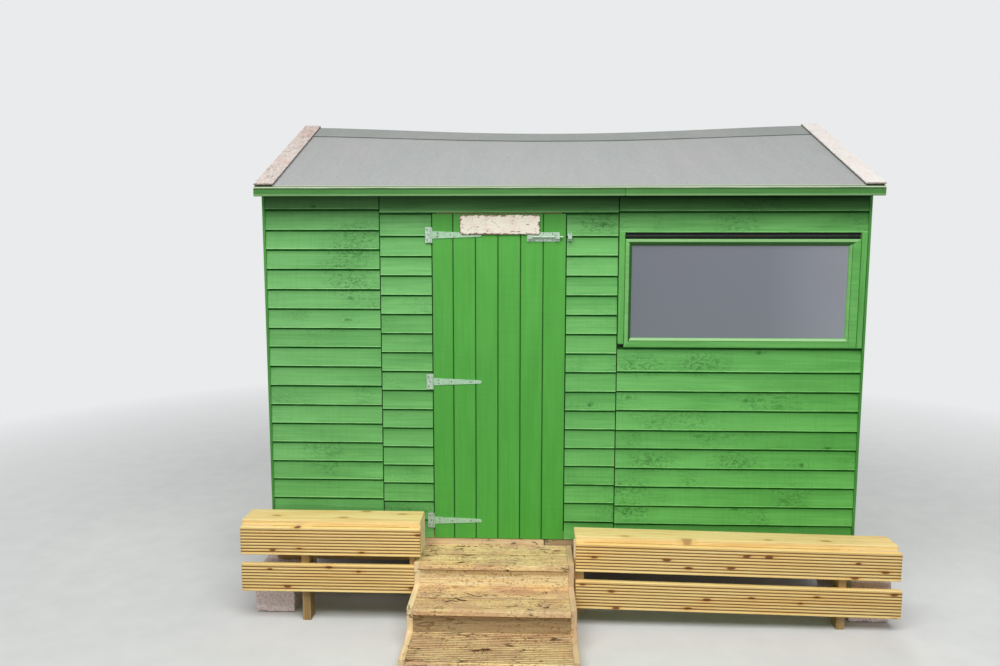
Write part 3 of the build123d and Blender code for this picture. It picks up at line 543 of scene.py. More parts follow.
class Pieces:
    """Closed lengths of one kind in one mesh. Each has its own number, and each point a tone."""

    def __init__(self):
        self.points = []
        self.faces = []
        self.boards = []
        self.tones = []

    def loft(self, rings, tones, board):
        """Skin through rings of points, closed at both ends. Every point has its tone."""
        base = len(self.points)
        size = len(rings[0])
        self.tones += tones
        for ring in rings:
            self.points += ring
            self.boards += [board] * size
        for i in range(len(rings) - 1):
            low = base + i * size
            for j in range(size):
                k = (j + 1) % size
                self.faces.append((low + j, low + k, low + size + k, low + size + j))
        last = base + (len(rings) - 1) * size
        self.faces.append(tuple(range(base, base + size)))
        self.faces.append(tuple(range(last, last + size)))

    def sweep(self, places, outline, point, board):
        """Skin through an outline carried from place to place. Each corner of the outline ends in
        its tone, and point turns a place and a corner into a point of the frame."""
        rings = [[point(place, *corner) for corner in outline] for place in places]
        self.loft(rings, [corner[-1] for corner in outline] * len(rings), board)

    def stud(self, centre, outward, radius, rise, board, tone=0.0, sides=8):
        """Domed nail or screw head that stands on a face."""
        turn = Vector(outward).to_track_quat("Z", "Y").to_matrix()
        rings = []
        for share, lift in ((1.0, -0.6), (1.0, 0.35), (0.72, 0.8), (0.3, 1.0)):
            rings.append([centre + turn @ Vector((radius * share * cos(2 * pi * i / sides),
                                                  radius * share * sin(2 * pi * i / sides),
                                                  rise * lift)) for i in range(sides)])
        self.loft(rings, [tone] * sides * len(rings), board)

    def build(self, name, material, body="shed", replaced=(), angle=32):
        mesh = bpy.data.meshes.new(name)
        mesh.from_pydata(self.points, [], self.faces)
        work = bmesh.new()
        work.from_mesh(mesh)
        bmesh.ops.recalc_face_normals(work, faces=work.faces)
        work.to_mesh(mesh)
        work.free()
        for title, values in (("board", self.boards), ("tone", self.tones)):
            layer = mesh.attributes.new(title, "FLOAT", "POINT")
            layer.data.foreach_set("value", values)
        mesh.shade_smooth()
        mesh.set_sharp_from_angle(angle=radians(angle))
        mesh.materials.append(material)
        piece = add_object(name, mesh)
        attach(piece, body)
        if replaced:
            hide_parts(*replaced)


# Camera, at the place and angle from which the front wall was pictured
camera_place = Vector((-0.184, -4.719, 1.906))
camera_yaw = radians(-1.985)
camera_pitch = radians(6.517)
camera_roll = radians(0.048)
camera_lens = 27.115

level_right = Vector((cos(camera_yaw), -sin(camera_yaw), 0))
forward = Vector((sin(camera_yaw) * cos(camera_pitch), cos(camera_yaw) * cos(camera_pitch),
                  -sin(camera_pitch)))
level_up = level_right.cross(forward)
camera_right = level_right * cos(camera_roll) + level_up * sin(camera_roll)
camera_up = level_up * cos(camera_roll) - level_right * sin(camera_roll)
lens = bpy.data.cameras.new("camera")
lens.sensor_width = 36
lens.lens = camera_lens
camera = add_object("camera", lens)
turn = Matrix((camera_right, camera_up, -forward)).transposed().to_4x4()
camera.matrix_world = Matrix.Translation(camera_place) @ turn
scene.camera = camera

# Lapped boarding
board_face = 0.012
thin_edge = 0.005
lap_slope = board_face - thin_edge
tongue = 0.009
tongue_gap = 0.0004
foot_round = 0.0012
lap_unevenness = 0.002
board_wave = 0.0016
board_lean = 0.0015
station_pitch = 0.07
panel_gap = 0.0015

# Nails of the boarding, just above the foot of each board
nail_rise = 0.028
usual_lap = 0.1
nail_radius = 0.0026
nail_dome = 0.0005
nail_margin = 0.01
nail_height_play = 0.003
nail_place_play = 0.004


def lap_heights(foot, top, first_lap, lap):
    """Feet of the courses between two heights, worked down from the highest board."""
    heights = []
    height = first_lap
    while height > foot + lap / 4:
        heights.insert(0, height)
        height -= lap
    return [foot] + heights + [top]


def wall_place(face, outward):
    """Function that turns (along, depth, height) into a point of the wall that faces outward."""
    def place(along, depth, height):
        if outward[0]:
            return Vector((face - outward[0] * depth, along, floor_z + height))
        return Vector((along, face - outward[1] * depth, floor_z + height))
    return place


def board_profile(rise, last):
    """Section of one lapped board: depth, height, tone. A high tone is painted shade below the lap
    above and on the underside of the foot, and a tone near nought at the foot is its painted
    highlight. The last one has no tongue.
    """
    rear = lap_slope + tongue_gap
    profile = [(rear, 0.0, 1.0), (foot_round, 0.0, 0.3), (0.0, foot_round, 0.0)]
    profile += [(lap_slope * share, rise * share, share) for share in (0.06, 0.2, 0.45, 0.7, 0.88, 0.95, 1.0)]
    if last:
        profile += [(board_face, rise, 1.0)]
    else:
        profile += [(rear, rise + tongue_gap, 1.0), (rear, rise + tongue, 1.0),
                    (board_face, rise + tongue, 1.0)]
    return profile + [(board_face, tongue + foot_round, 0.0), (rear, tongue + foot_round, 0.0)]


def weatherboards(pieces, place, edges, start, end, seed):
    """One stretch of lapped boards. start and end give the stretch's ends at a height. Returns the
    heights of the boards' feet."""
    draw = Random(seed)
    inner = [edge + draw.uniform(-lap_unevenness, lap_unevenness) for edge in edges[1:-1]]
    feet = [edges[0]] + inner + [edges[-1]]
    for number, (foot, head) in enumerate(zip(feet[:-1], feet[1:])):
        profile = board_profile(head - foot, number == len(feet) - 2)
        lean = draw.uniform(0.0, board_lean)

        def point(share, depth, height, tone):
            high = min(foot + height, edges[-1])
            along = start(high) + (end(high) - start(high)) * share
            wave = ripple(along * 3.1, foot * 7, seed, board_wave) * max(0, 1 - 3 * tone) * (number > 0)
            cup = abs(ripple(along * 2.3, foot * 5 + 9, seed, board_wave)) * (1 - tone)
            return place(along, min(depth + (cup + lean) * (depth < lap_slope), board_face), high + wave)
        count = max(2, int((end(foot) - start(foot)) / station_pitch))
        pieces.sweep([i / count for i in range(count + 1)], profile, point, draw.random())
    return feet


def nail_rows(pieces, place, outward, feet, lines, start, end, seed):
    """Painted nail heads just above the foot of each board, on the lines of the studs."""
    draw = Random(seed)
    depth = lap_slope * nail_rise / usual_lap + 0.0012
    for foot in feet[:-1]:
        for line in lines:
            height = foot + nail_rise + draw.uniform(-nail_height_play, nail_height_play)
            along = line + draw.uniform(-nail_place_play, nail_place_play)
            if start(height) + nail_margin < along < end(height) - nail_margin:
                pieces.stud(place(along, depth, height), outward, nail_radius, nail_dome, draw.random(),
                            tone=0.5)


def clad(pieces, face, outward, edges, ends, lines, seed, nail_seed):
    """One stretch of boarding with its nails."""
    start, end = ends
    place = wall_place(face, outward)
    feet = weatherboards(pieces, place, edges, start, end, seed)
    nail_rows(pieces, place, outward, feet, lines, start, end, nail_seed)


def upright_ends(low, high):
    """Ends of a stretch that are the same at every height."""
    return (lambda height: low), (lambda height: high)


# Front wall, stretch by stretch: how far its left end is cut for the joint, the height that each
# course shows, the height of its highest board, and the lines of its nails
joint_gap = 0.0038
front_stretches = (
    ("left_panel_cladding", 0.0, 0.1013, 0.112, (0.03, 0.30, 0.56)),
    ("door_left_cladding", joint_gap, 0.0999, 0.118, (0.02, 0.24)),
    ("door_right_cladding", 0.0, 0.0999, 0.118, (0.03, 0.24)),
    ("door_header", joint_gap, 0.0999, 0.128, (0.02, 0.25, 0.6, 0.97, 1.2)),
    ("window_lower_cladding", joint_gap, 0.10175, 0.127, (0.02, 0.42, 0.82, 1.2)),
    ("window_upper_cladding", joint_gap, 0.10175, 0.121, (0.02, 0.42, 0.82, 1.2)),
)
for number, (node, cut, lap, top_board, nail_lines) in enumerate(front_stretches):
    lo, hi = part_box(node)
    start = lo.x + cut
    foot = lo.z - floor_z
    head = hi.z - floor_z
    edges = [foot, head] if node == "door_header" else lap_heights(foot, head, head - top_board, lap)
    boards = Pieces()
    clad(boards, front_y, (0, -1, 0), edges, upright_ends(start, hi.x), [start + line for line in nail_lines],
         11 + number, 31 + number)
    boards.build(node.replace("cladding", "boards").replace("header", "header_board"), cladding_paint,
                 replaced=(node,))

# Back wall, in three panels
rear_lap = 0.101
rear_top_board = 0.114
rear_foot = 0.003
wall_head = cladding_top - floor_z
panel_joints = [left_x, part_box("door_left_cladding")[0].x, window_wall_lo.x, right_x]
rear_edges = lap_heights(rear_foot, wall_head, wall_head - rear_top_board, rear_lap)
boards = Pieces()
for number, (low, high) in enumerate(zip(panel_joints[:-1], panel_joints[1:])):
    clad(boards, back_y, (0, 1, 0), rear_edges, upright_ends(low, high - panel_gap),
         [low + 0.03, (low + high) / 2, high - 0.03], 51 + number, 61 + number)
boards.build("back_boards", cladding_paint, replaced=("back_cladding",))

# Gables, cut to the roof
gable_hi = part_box("left_gable_cladding")[1]
gable_peak = gable_hi.z - floor_z
verge_lo, verge_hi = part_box("verge_boards_front")
verge_thickness = 0.018
roof_slope = (verge_hi.z - verge_lo.z - verge_thickness) / (verge_hi.y - verge_lo.y)


def gable_reach(height):
    """Half the width of a gable's boarding at a height over the floor."""
    return min(gable_hi.y, max(0.004, (gable_peak - height) / roof_slope))


gable_edges = lap_heights(rear_foot, gable_peak, wall_head - rear_top_board, rear_lap)
while gable_edges[-2] < gable_peak - 1.3 * rear_lap:
    gable_edges.insert(-1, gable_edges[-2] + rear_lap)
gable_ends = (lambda height: -gable_reach(height)), gable_reach
gable_nail_lines = (-0.81, 0.0, 0.81)
for node, face, outward, seed in (("left_gable_cladding", left_x, (-1, 0, 0), 71),
                                  ("right_gable_cladding", right_x, (1, 0, 0), 81)):
    boards = Pieces()
    clad(boards, face, outward, gable_edges, gable_ends, gable_nail_lines, seed, seed + 1)
    boards.build(node.replace("cladding", "boards"), gable_paint, replaced=(node,))


beam_pitch = 0.08


def beam(pieces, low, high, axis, board, edge=0.002, wobble=0.0006, tone=0.0):
    """Sawn timber between two corners, with eased edges and slightly uneven faces."""
    first, second = [name for name in range(3) if name != axis]
    u0, v0, u1, v1 = low[first], low[second], high[first], high[second]
    outline = [(u0 + edge, v0), (u1 - edge, v0), (u1, v0 + edge), (u1, v1 - edge),
               (u1 - edge, v1), (u0 + edge, v1), (u0, v1 - edge), (u0, v0 + edge)]

    def point(station, u, v, tone):
        along, inset = station
        shrink = inset + abs(ripple(along * 4 + board * 50, u * 9, v * 9, wobble))
        corner = [0.0, 0.0, 0.0]
        corner[axis] = along
        corner[first] = u + (shrink if u < (u0 + u1) / 2 else -shrink)
        corner[second] = v + (shrink if v < (v0 + v1) / 2 else -shrink)
        return Vector(corner)
    count = max(1, int((high[axis] - low[axis]) / beam_pitch))
    places = stations(low[axis], high[axis], count, edge)
    pieces.sweep(places, [(u, v, tone) for u, v in outline], point, board)


def strip_boards(pieces, place, outline, start, end, board, step=0.06, ends=0.0015):
    """Length of one section along X: the outline is (depth, height, tone), closed."""
    depth_middle = sum(corner[0] for corner in outline) / len(outline)
    height_middle = sum(corner[1] for corner in outline) / len(outline)

    def point(station, depth, height, tone):
        along, inset = station
        return place(along, depth + (inset if depth < depth_middle else -inset),
                     height + (inset if height < height_middle else -inset))
    pieces.sweep(stations(start, end, max(1, int((end - start) / step)), ends), outline, point, board)


# Door leaf: upright boards with a V between them
leaf_lo, leaf_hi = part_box("door_boards")
door_board_count = 6
first_board_trim = 0.009
groove_half = 0.0032
groove_depth = 0.0028
edge_half = 0.001
board_side_gap = 0.0002
board_pitch = (leaf_hi.x - leaf_lo.x + first_board_trim) / door_board_count
leaf_face = leaf_lo.y
draw = Random(5)
boards = Pieces()
for i in range(door_board_count):
    high = leaf_hi.x - i * board_pitch
    low = max(leaf_lo.x, high - board_pitch)
    low_cut = groove_half if i < door_board_count - 1 else edge_half
    high_cut = groove_half if i else edge_half
    low_side = low + board_side_gap
    high_side = high - board_side_gap
    low_foot = leaf_face + groove_depth * (low_cut > edge_half) + 0.0006
    high_foot = leaf_face + groove_depth * (high_cut > edge_half) + 0.0006
    lean = draw.uniform(0.0, 0.0006)
    outline = [(low_side, low_foot, 1.0), (low + low_cut, leaf_face + 0.0002, 0.25),
               (low + low_cut + 0.004, leaf_face + lean, 0.0), ((low + high) / 2, leaf_face, 0.0),
               (high - high_cut - 0.004, leaf_face + lean, 0.0), (high - high_cut, leaf_face + 0.0002, 0.25),
               (high_side, high_foot, 1.0), (high_side, leaf_hi.y, 0.0), (low_side, leaf_hi.y, 0.0)]

    def point(station, x, y, tone):
        return Vector((x + ripple(station[0] * 2.5, i, 3.0, 0.0003), y, station[0]))
    boards.sweep(stations(leaf_lo.z, leaf_hi.z, 24, 0.0012), outline, point, draw.random())
boards.build("door_planks", door_paint, body="door", replaced=("door_boards",))

# Roof felt: sheets that follow the sagging boards, with a lapped ridge strip
gable_wall = 0.056
roof_sag = 0.041
sag_power = 1.3
roof_bend = back_y - gable_wall
peak_z = gable_hi.z + 0.0006
felt_low = 0.0123
felt_thickness = 0.003
felt_top = felt_low + felt_thickness
layer_gap = 0.0003
felt_columns = 60
felt_rows = 16


def sag_at(x):
    """How far the ridge has dropped at a place along it, none over the gables."""
    share = (x - left_x - gable_wall) / (right_x - left_x - 2 * gable_wall)
    return roof_sag * sin(pi * share) ** sag_power if 0 < share < 1 else 0.0


def roof_under(distance, sag=0.0):
    """Underside of the roof boards at a distance in front of or behind the ridge."""
    return peak_z - distance * roof_slope - sag * max(0.0, 1 - distance / roof_bend)


def felt_sheet(pieces, side, x_ends, reach, low, board, start, wave):
    """One sheet over a slope, with a paler turned edge at its foot."""
    columns = [x_ends[0] + (x_ends[1] - x_ends[0]) * i / felt_columns for i in range(felt_columns + 1)]
    rows = [start + (reach - start) * i / felt_rows for i in range(felt_rows)]
    rows += [reach - 0.012, reach - 0.003, reach]
    tones = [0.0] * (felt_rows + 1) + [0.5, 1.0]
    top = []
    foot = []
    for x in columns:
        for distance in rows:
            level = roof_under(distance, sag_at(x)) + low
            lift = felt_thickness - abs(ripple(x * 1.7, distance * 3.1, side + board * 9, wave))
            edge = ripple(x * 4.1, side, board * 5, 0.0015) if distance == reach and reach < 0.5 else 0.0
            y = side * (distance - abs(edge))
            top.append(Vector((x, y, level + lift)))
            foot.append(Vector((x, y, level)))
    base = len(pieces.points)
    pieces.points += top + foot
    pieces.tones += tones * (2 * len(columns))
    pieces.boards += [board] * (2 * len(top))
    span = len(rows)
    under = len(top)

    def side_face(a, b):
        pieces.faces.append((a, b, b + under, a + under))
    for i in range(len(columns) - 1):
        for a in range(base + i * span, base + i * span + span - 1):
            pieces.faces.append((a, a + 1, a + span + 1, a + span))
            pieces.faces.append((a + under, a + under + span, a + under + span + 1, a + under + 1))
        for a in (base + i * span, base + i * span + span - 1):
            side_face(a, a + span)
    for i in (0, len(columns) - 1):
        for a in range(base + i * span, base + i * span + span - 1):
            side_face(a, a + 1)


def roof_nail(pieces, x, side, distance, z, radius, rise, board):
    """Clout or nail driven square into a slope."""
    pieces.stud(Vector((x, side * distance, z)), (0, side * roof_slope, 1), radius, rise, board)


for node, side, board in (("felt_front", -1, 0.2), ("felt_back", 1, 0.6)):
    sheet = Pieces()
    felt_sheet(sheet, side, (roof_lo.x, roof_hi.x), -roof_lo.y, felt_low, board, start=0.0004, wave=0.001)
    sheet.build(node.replace("felt", "roof_sheet"), felt, replaced=(node,))

ridge_lo, ridge_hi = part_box("felt_ridge")
ridge_low = felt_top + layer_gap
tack_pitch = 0.09
tack_inset = 0.018
cap = Pieces()
for side, board in ((-1, 0.4), (1, 0.9)):
    felt_sheet(cap, side, (ridge_lo.x, ridge_hi.x), -ridge_lo.y, ridge_low, board, start=0.0, wave=0.0006)
draw = Random(17)
for side in (-1, 1):
    x = ridge_lo.x + 0.05
    while x < ridge_hi.x - 0.03:
        distance = -ridge_lo.y - tack_inset + draw.uniform(-0.004, 0.004)
        z = roof_under(distance, sag_at(x)) + ridge_low + felt_thickness
        roof_nail(cap, x, side, distance, z, 0.0045, 0.0012, draw.random())
        x += tack_pitch + draw.uniform(-0.01, 0.01)
cap.build("ridge_strip", ridge_felt, replaced=("felt_ridge",))

# Boards along the verges, on top of the felt, undercut where they stand on it, with painted
# shadow on the undercut
verge_low = felt_top + layer_gap
verge_width = 0.095
verge_ease = 0.003
undercut_in = 0.008
undercut_rise = 0.009
verge_steps = 24
verge_start = 0.0006
verge_crown = verge_thickness - 0.0004
verge_nails = 4
verge_nail_start = 0.05
verge_nail_pitch = 0.27
verge_outline = [
    (undercut_in, 0.0), (verge_width - undercut_in, 0.0), (verge_width - undercut_in, undercut_rise - 0.001),
    (verge_width, undercut_rise), (verge_width, verge_thickness - verge_ease),
    (verge_width - verge_ease, verge_thickness), (verge_width * 0.66, verge_crown),
    (verge_width * 0.33, verge_crown), (verge_ease, verge_thickness), (0.0, verge_thickness - verge_ease),
    (0.0, undercut_rise), (undercut_in, undercut_rise - 0.001)]
for node, side in (("verge_boards_front", -1), ("verge_boards_back", 1)):
    verges = Pieces()
    lo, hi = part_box(node)
    reach = max(abs(lo.y), abs(hi.y))
    draw = Random(23 + side)
    for x0 in (lo.x, hi.x - verge_width):
        board = draw.random()
        face_tone = 0.5 if x0 > lo.x else 0.0
        # The undercut's tone below nought is painted shadow
        outline = [(across, lift, -1.0 if lift < undercut_rise else face_tone)
                   for across, lift in verge_outline]

        def point(k, across, lift, tone):
            distance = verge_start + (reach - verge_start) * k / verge_steps
            wear = abs(ripple(distance * 5, across * 40, board * 30, 0.0012)) * (lift > 0.01)
            side_wear = ripple(distance * 4, board * 20, side, 0.0008) * (0 < across < verge_width)
            back = undercut_in * (k == verge_steps and lift < undercut_rise)
            return Vector((x0 + across + side_wear, side * (distance - back),
                           roof_under(distance) + verge_low + lift - wear))
        verges.sweep(range(verge_steps + 1), outline, point, board)
        for k in range(verge_nails):
            distance = verge_nail_start + verge_nail_pitch * k
            z = roof_under(distance) + verge_low + verge_thickness - 0.0006
            x = x0 + verge_width * 0.5 + draw.uniform(-0.01, 0.01)
            roof_nail(verges, x, side, distance, z, 0.003, 0.0008, draw.random())
    verges.build(node.replace("boards", "planks"), verge_wood, replaced=(node,))

# Fascias under the eaves, each with the turned-down edge of the felt above it
fascia_lo, fascia_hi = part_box("fascia_front")
fascia_joint = window_wall_lo.x + 0.022
felt_lip = 0.0055
lip_steps = 80
lip_inset = 0.002
# The lip's section: depth, height from its foot for the first two corners and else from its top, tone
lip_outline = [(0.0002, 0.0, 0.8), (0.0016, 0.0006, 1.0), (0.0022, -0.002, 1.0), (0.0012, 0.0008, 1.0),
               (0.0002, 0.001, 1.0)]


def fascia_outline(lo, hi, outer_top):
    """Section of a fascia: depth from its outer face, height, tone. A high tone is painted shade on
    the underside and darkens the face towards its top; below nought it is a painted highlight along
    the foot.
    """
    deep = hi.y - lo.y
    return [(deep, lo.z, 0.9), (0.002, lo.z, 0.0), (0.0004, lo.z + 0.002, -0.6), (0.0, lo.z + 0.006, -0.5),
            (0.0, lo.z + 0.012, 0.0), (0.0, outer_top - 0.016, 0.0), (0.0, outer_top - 0.010, 0.5),
            (0.0004, outer_top - 0.001, 0.3), (0.0016, outer_top, 0.3), (deep, hi.z - 0.0002, 0.3)]


for node, side, joints in (("fascia_front", -1, (fascia_lo.x, fascia_joint, fascia_hi.x)),
                           ("fascia_back", 1, (fascia_lo.x, fascia_hi.x))):
    lo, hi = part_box(node)
    outer = lo.y if side < 0 else hi.y
    outer_top = hi.z - (hi.y - lo.y) * roof_slope
    boards = Pieces()
    draw = Random(41 + side)

    def place(along, depth, height):
        wave = ripple(along * 2.2, height, 3.0, 0.0006) * (depth < 0.001)
        return Vector((along, outer - side * depth - side * abs(wave), height))
    for low, high in zip(joints[:-1], joints[1:]):
        strip_boards(boards, place, fascia_outline(lo, hi, outer_top), low, high - panel_gap, draw.random())
    boards.build(node.replace("fascia", "eaves_board"), fascia_paint, replaced=(node,))

    lip = Pieces()
    lip_top = outer_top + 0.001

    def point(k, depth, lift, tone):
        along = roof_lo.x + lip_inset + (roof_hi.x - roof_lo.x - 2 * lip_inset) * k / lip_steps
        foot = lip_top - felt_lip + ripple(along * 6, side, 4.0, 0.0016)
        level = foot if depth < 0.0017 and lift < 0.0007 else lip_top
        return Vector((along, outer + side * depth, level + lift))
    lip.sweep(range(lip_steps + 1), lip_outline, point, 0.4)
    lip.build(node.replace("fascia", "felt_lip"), felt)

# Window: sash with a bead round the light, casings and the seal over its head
sash_lo, sash_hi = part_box("window_sash")
light_x = (pane_lo.x + 0.004, pane_hi.x - 0.026)
light_z = (pane_lo.z + 0.011, pane_hi.z - 0.0025)
sash_x = (sash_lo.x, sash_hi.x)
sash_z = (sash_lo.z, sash_hi.z)
sash = Pieces()
sash_depth = sash_hi.y - sash_lo.y
recess = pane_lo.y - sash_lo.y
sash_steps = 12


def sash_rail(axis, outer_across, inner_across, outer_ends, inner_ends, board, bead, face_tone, bead_tone):
    """One mitred member of the sash, bevelled down to the pane. It runs along X (0) or Z (1),
    between an outer and an inner edge that each have their own ends."""
    sign = 1 if inner_across > outer_across else -1
    width = abs(inner_across - outer_across)
    section = [(0.0, 0.003, 0.2), (0.003, 0.0, face_tone), (width - bead - 0.0035, 0.0, face_tone),
               (width - bead - 0.0022, 0.0014, 0.8), (width - bead - 0.0008, 0.0014, 0.8),
               (width - bead, 0.0002, bead_tone), (width - bead * 0.3, recess * 0.55, bead_tone),
               (width, recess - 0.001, bead_tone * 0.6 + 0.2), (width, sash_depth, 0.0),
               (0.0, sash_depth, 0.0)]

    def point(k, across, depth, tone):
        low, high = [outer + (inner - outer) * across / width for outer, inner in zip(outer_ends, inner_ends)]
        spot = [0.0, 0.0]
        spot[axis] = low + (high - low) * k / sash_steps
        spot[1 - axis] = outer_across + sign * across
        wave = abs(ripple(spot[0] * 5, spot[1] * 5, board * 20, 0.0005)) if depth < 0.001 else 0.0
        return Vector((spot[0], sash_lo.y + depth + wave, spot[1]))
    sash.sweep(range(sash_steps + 1), section, point, board)


# Below nought a tone is a painted highlight; above it, painted shade in the reveals and by the bead
sash_rail(0, sash_z[1], light_z[1], sash_x, light_x, 0.15, 0.016, -0.7, 0.72)
sash_rail(0, sash_z[0], light_z[0], sash_x, light_x, 0.35, 0.013, 0.0, -0.85)
sash_rail(1, sash_x[0], light_x[0], sash_z, light_z, 0.55, 0.012, -0.2, 0.8)
sash_rail(1, sash_x[1], light_x[1], sash_z, light_z, 0.75, 0.013, 0.0, -0.22)
sash.build("sash_moulding", trim_paint, replaced=("window_sash",))

casing_lo, casing_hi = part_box("window_casing")
casing_gap = 0.0012
casings = Pieces()
for low, high, foot, board in ((casing_lo.x, sash_lo.x - casing_gap, casing_lo.z + 0.017, 0.3),
                               (sash_hi.x + casing_gap, casing_hi.x - 0.0045, casing_lo.z, 0.7)):
    beam(casings, (low, casing_lo.y, foot), (high, casing_hi.y, casing_hi.z), 2, board, edge=0.003,
         wobble=0.0008)
casings.build("window_trims", upright_paint, replaced=("window_casing",))

# The seal is two dark ribs with a paler one between them: share of the height, depth, tone
seal_lo, seal_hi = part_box("window_seal")
seal = Pieces()
seal_height = seal_hi.z - seal_lo.z
for low_share, high_share, depth, tone, board in ((0.0, 0.42, 0.0016, 0.0, 0.1), (0.42, 0.55, 0.0, 0.6, 0.4),
                                                  (0.55, 1.0, 0.002, 0.05, 0.8)):
    beam(seal, (seal_lo.x, seal_lo.y + depth, seal_lo.z + seal_height * low_share),
         (seal_hi.x, seal_hi.y, seal_lo.z + seal_height * high_share - 0.0002), 0, board, edge=0.0008,
         wobble=0.0012, tone=tone)
seal.build("head_seal", rubber, replaced=("window_seal",))

# Benches: two reeded boards below one another at the front, and a seat board over them
reed_count = 8
reed_depth = 0.003
reed_half = 0.0025
reeded_height = 0.145
reeded_gap = 0.048
bench_board = 0.028
board_wear = 0.0008
left_lower_short = 0.0323
right_upper_short = 0.010


def reed_middles(length):
    """Middles of the grooves, from the middle of a reeded face of the given length."""
    return [(i - (reed_count - 1) / 2) * (length / (reed_count + 1)) for i in range(reed_count)]


def reeded_outline(height, thickness):
    """Deck board seen from its end, reeded on its outer face: depth, height, tone. The tone is grime
    with painted shade in the reeds.
    """
    outline = [(0.003, -height / 2, 0.0), (0.0, -height / 2 + 0.003, 0.0)]
    for middle in reed_middles(height):
        outline += [(0.0004, middle - reed_half - 0.002, 0.0), (0.0014, middle - reed_half, 0.6),
                    (reed_depth, middle - 0.0018, 1.0), (reed_depth, middle + 0.0018, 1.0),
                    (0.0014, middle + reed_half, 0.6), (0.0004, middle + reed_half + 0.002, 0.0)]
    return outline + [(0.0, height / 2 - 0.003, 0.0), (0.003, height / 2, 0.0),
                      (thickness / 2, height / 2, 0.0), (thickness, height / 2 - 0.002, 0.0),
                      (thickness, -height / 2 + 0.002, 0.0)]


def seat_outline(width):
    """Seat board seen from its end, worn along its front: depth, height, tone."""
    return [(0.0, -bench_board, 0.0), (0.0, -0.006, 0.0), (0.0006, -0.003, 0.0), (0.003, -0.0006, 0.0),
            (0.006, 0.0, 0.0), (width * 0.3, -0.0004, 0.0), (width * 0.6, -0.0004, 0.0),
            (width - 0.006, 0.0, 0.0), (width - 0.003, -0.0006, 0.0), (width - 0.0006, -0.003, 0.0),
            (width, -0.006, 0.0), (width, -bench_board, 0.0)]


# Each bench: how far it falls to the right, how far its boards are drawn in at both ends, how far
# the upper and the lower one end short of their box, the seat's width and inset, the seed of the
# boards and the seat's own number
seat_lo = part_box("bench_seats")[0]
seats = Pieces()
for side, fall, trim, shorts, seat_width, seat_inset, seed, seat_board in (
        ("left", 0.0, 0.0, (0.0, left_lower_short), 0.160, 0.0, 91, 0.3),
        ("right", 0.028, 0.002, (right_upper_short, 0.0), 0.130, 0.006, 92, 0.8)):
    node = f"bench_{side}_fascias"
    lo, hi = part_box(node)
    length = hi.x - shorts[0] - lo.x
    boards = Pieces()
    draw = Random(seed)
    for row, short in enumerate(shorts):
        middle = hi.z - reeded_height / 2 - row * (reeded_height + reeded_gap)

        def place(along, depth, height):
            sag = fall * (along - lo.x) / length
            wave = abs(ripple(along * 3, row, 2.0, board_wear))
            return Vector((along + height * fall / length * 0.5, lo.y + depth + wave * (depth < 0.02),
                           middle + height - sag))
        strip_boards(boards, place, reeded_outline(reeded_height, bench_board), lo.x + trim,
                     hi.x - short - trim, draw.random(), ends=0.002)
    boards.build(node.replace("bench", "reeded"), reed_wood, replaced=(node,))

    def place(along, depth, height):
        wave = abs(ripple(along * 3, depth * 8, 5.0, board_wear)) * (height > -0.01)
        return Vector((along, seat_lo.y + depth,
                       hi.z + bench_board + height - wave - fall * (along - lo.x) / length))
    strip_boards(seats, place, seat_outline(seat_width), lo.x, lo.x + length - seat_inset - 0.002, seat_board,
                 ends=0.003)
seats.build("bench_tops", deck_wood, replaced=("bench_seats",))

# Steps
stringer_lo, stringer_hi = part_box("step_stringers")
tread_lo, tread_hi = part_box("step_treads")
riser_lo, riser_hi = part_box("step_risers")
step_count = 3
step_rise = 0.115
step_going = 0.248
nosing = 0.020
tread_thickness = 0.030
tread_gap = 0.003
riser_thickness = 0.020
seat_gap = 0.0003
step_tops = [tread_hi.z - step_rise * i for i in range(step_count)]
step_faces = [front_y - step_going * (i + 1) for i in range(step_count)]
step_backs = [tread_hi.y] + [face - seat_gap for face in step_faces[:-1]]


def tread_outline(depth, reeded, front_edge):
    """Section of one tread board: distance back from its front, height, tone. The tone is grime with
    painted shade in the reeds and gaps, and a painted shadow line along the foot of the front edge.
    """
    foot = -tread_thickness
    outline = [(0.002, foot, 0.8), (0.0, foot + 0.002, 0.8)]
    if front_edge:
        outline += [(0.0, foot + 0.005, 0.9), (0.0, foot + 0.0065, 0.0), (0.0, -0.007, 0.0),
                    (0.0012, -0.003, 0.0), (0.004, -0.0008, 0.0), (0.009, 0.0, 0.0)]
    else:
        outline += [(0.0, -0.003, 0.6), (0.0012, -0.0006, 0.2), (0.004, 0.0, 0.0)]
    if reeded:
        for offset in reed_middles(depth):
            middle = depth / 2 + offset
            outline += [(middle - reed_half - 0.0015, -0.0003, 0.05), (middle - reed_half, -0.0012, 0.5),
                        (middle - 0.001, -reed_depth, 1.0), (middle + 0.001, -reed_depth, 1.0),
                        (middle + reed_half, -0.0012, 0.5), (middle + reed_half + 0.0015, -0.0003, 0.05)]
    else:
        outline += [(depth * share, -0.0003, 0.0) for share in (0.3, 0.5, 0.7)]
    return outline + [(depth - 0.004, 0.0, 0.0), (depth - 0.001, -0.0006, 0.2), (depth, -0.003, 0.6),
                      (depth, foot + 0.002, 0.2), (depth - 0.002, foot, 0.3)]


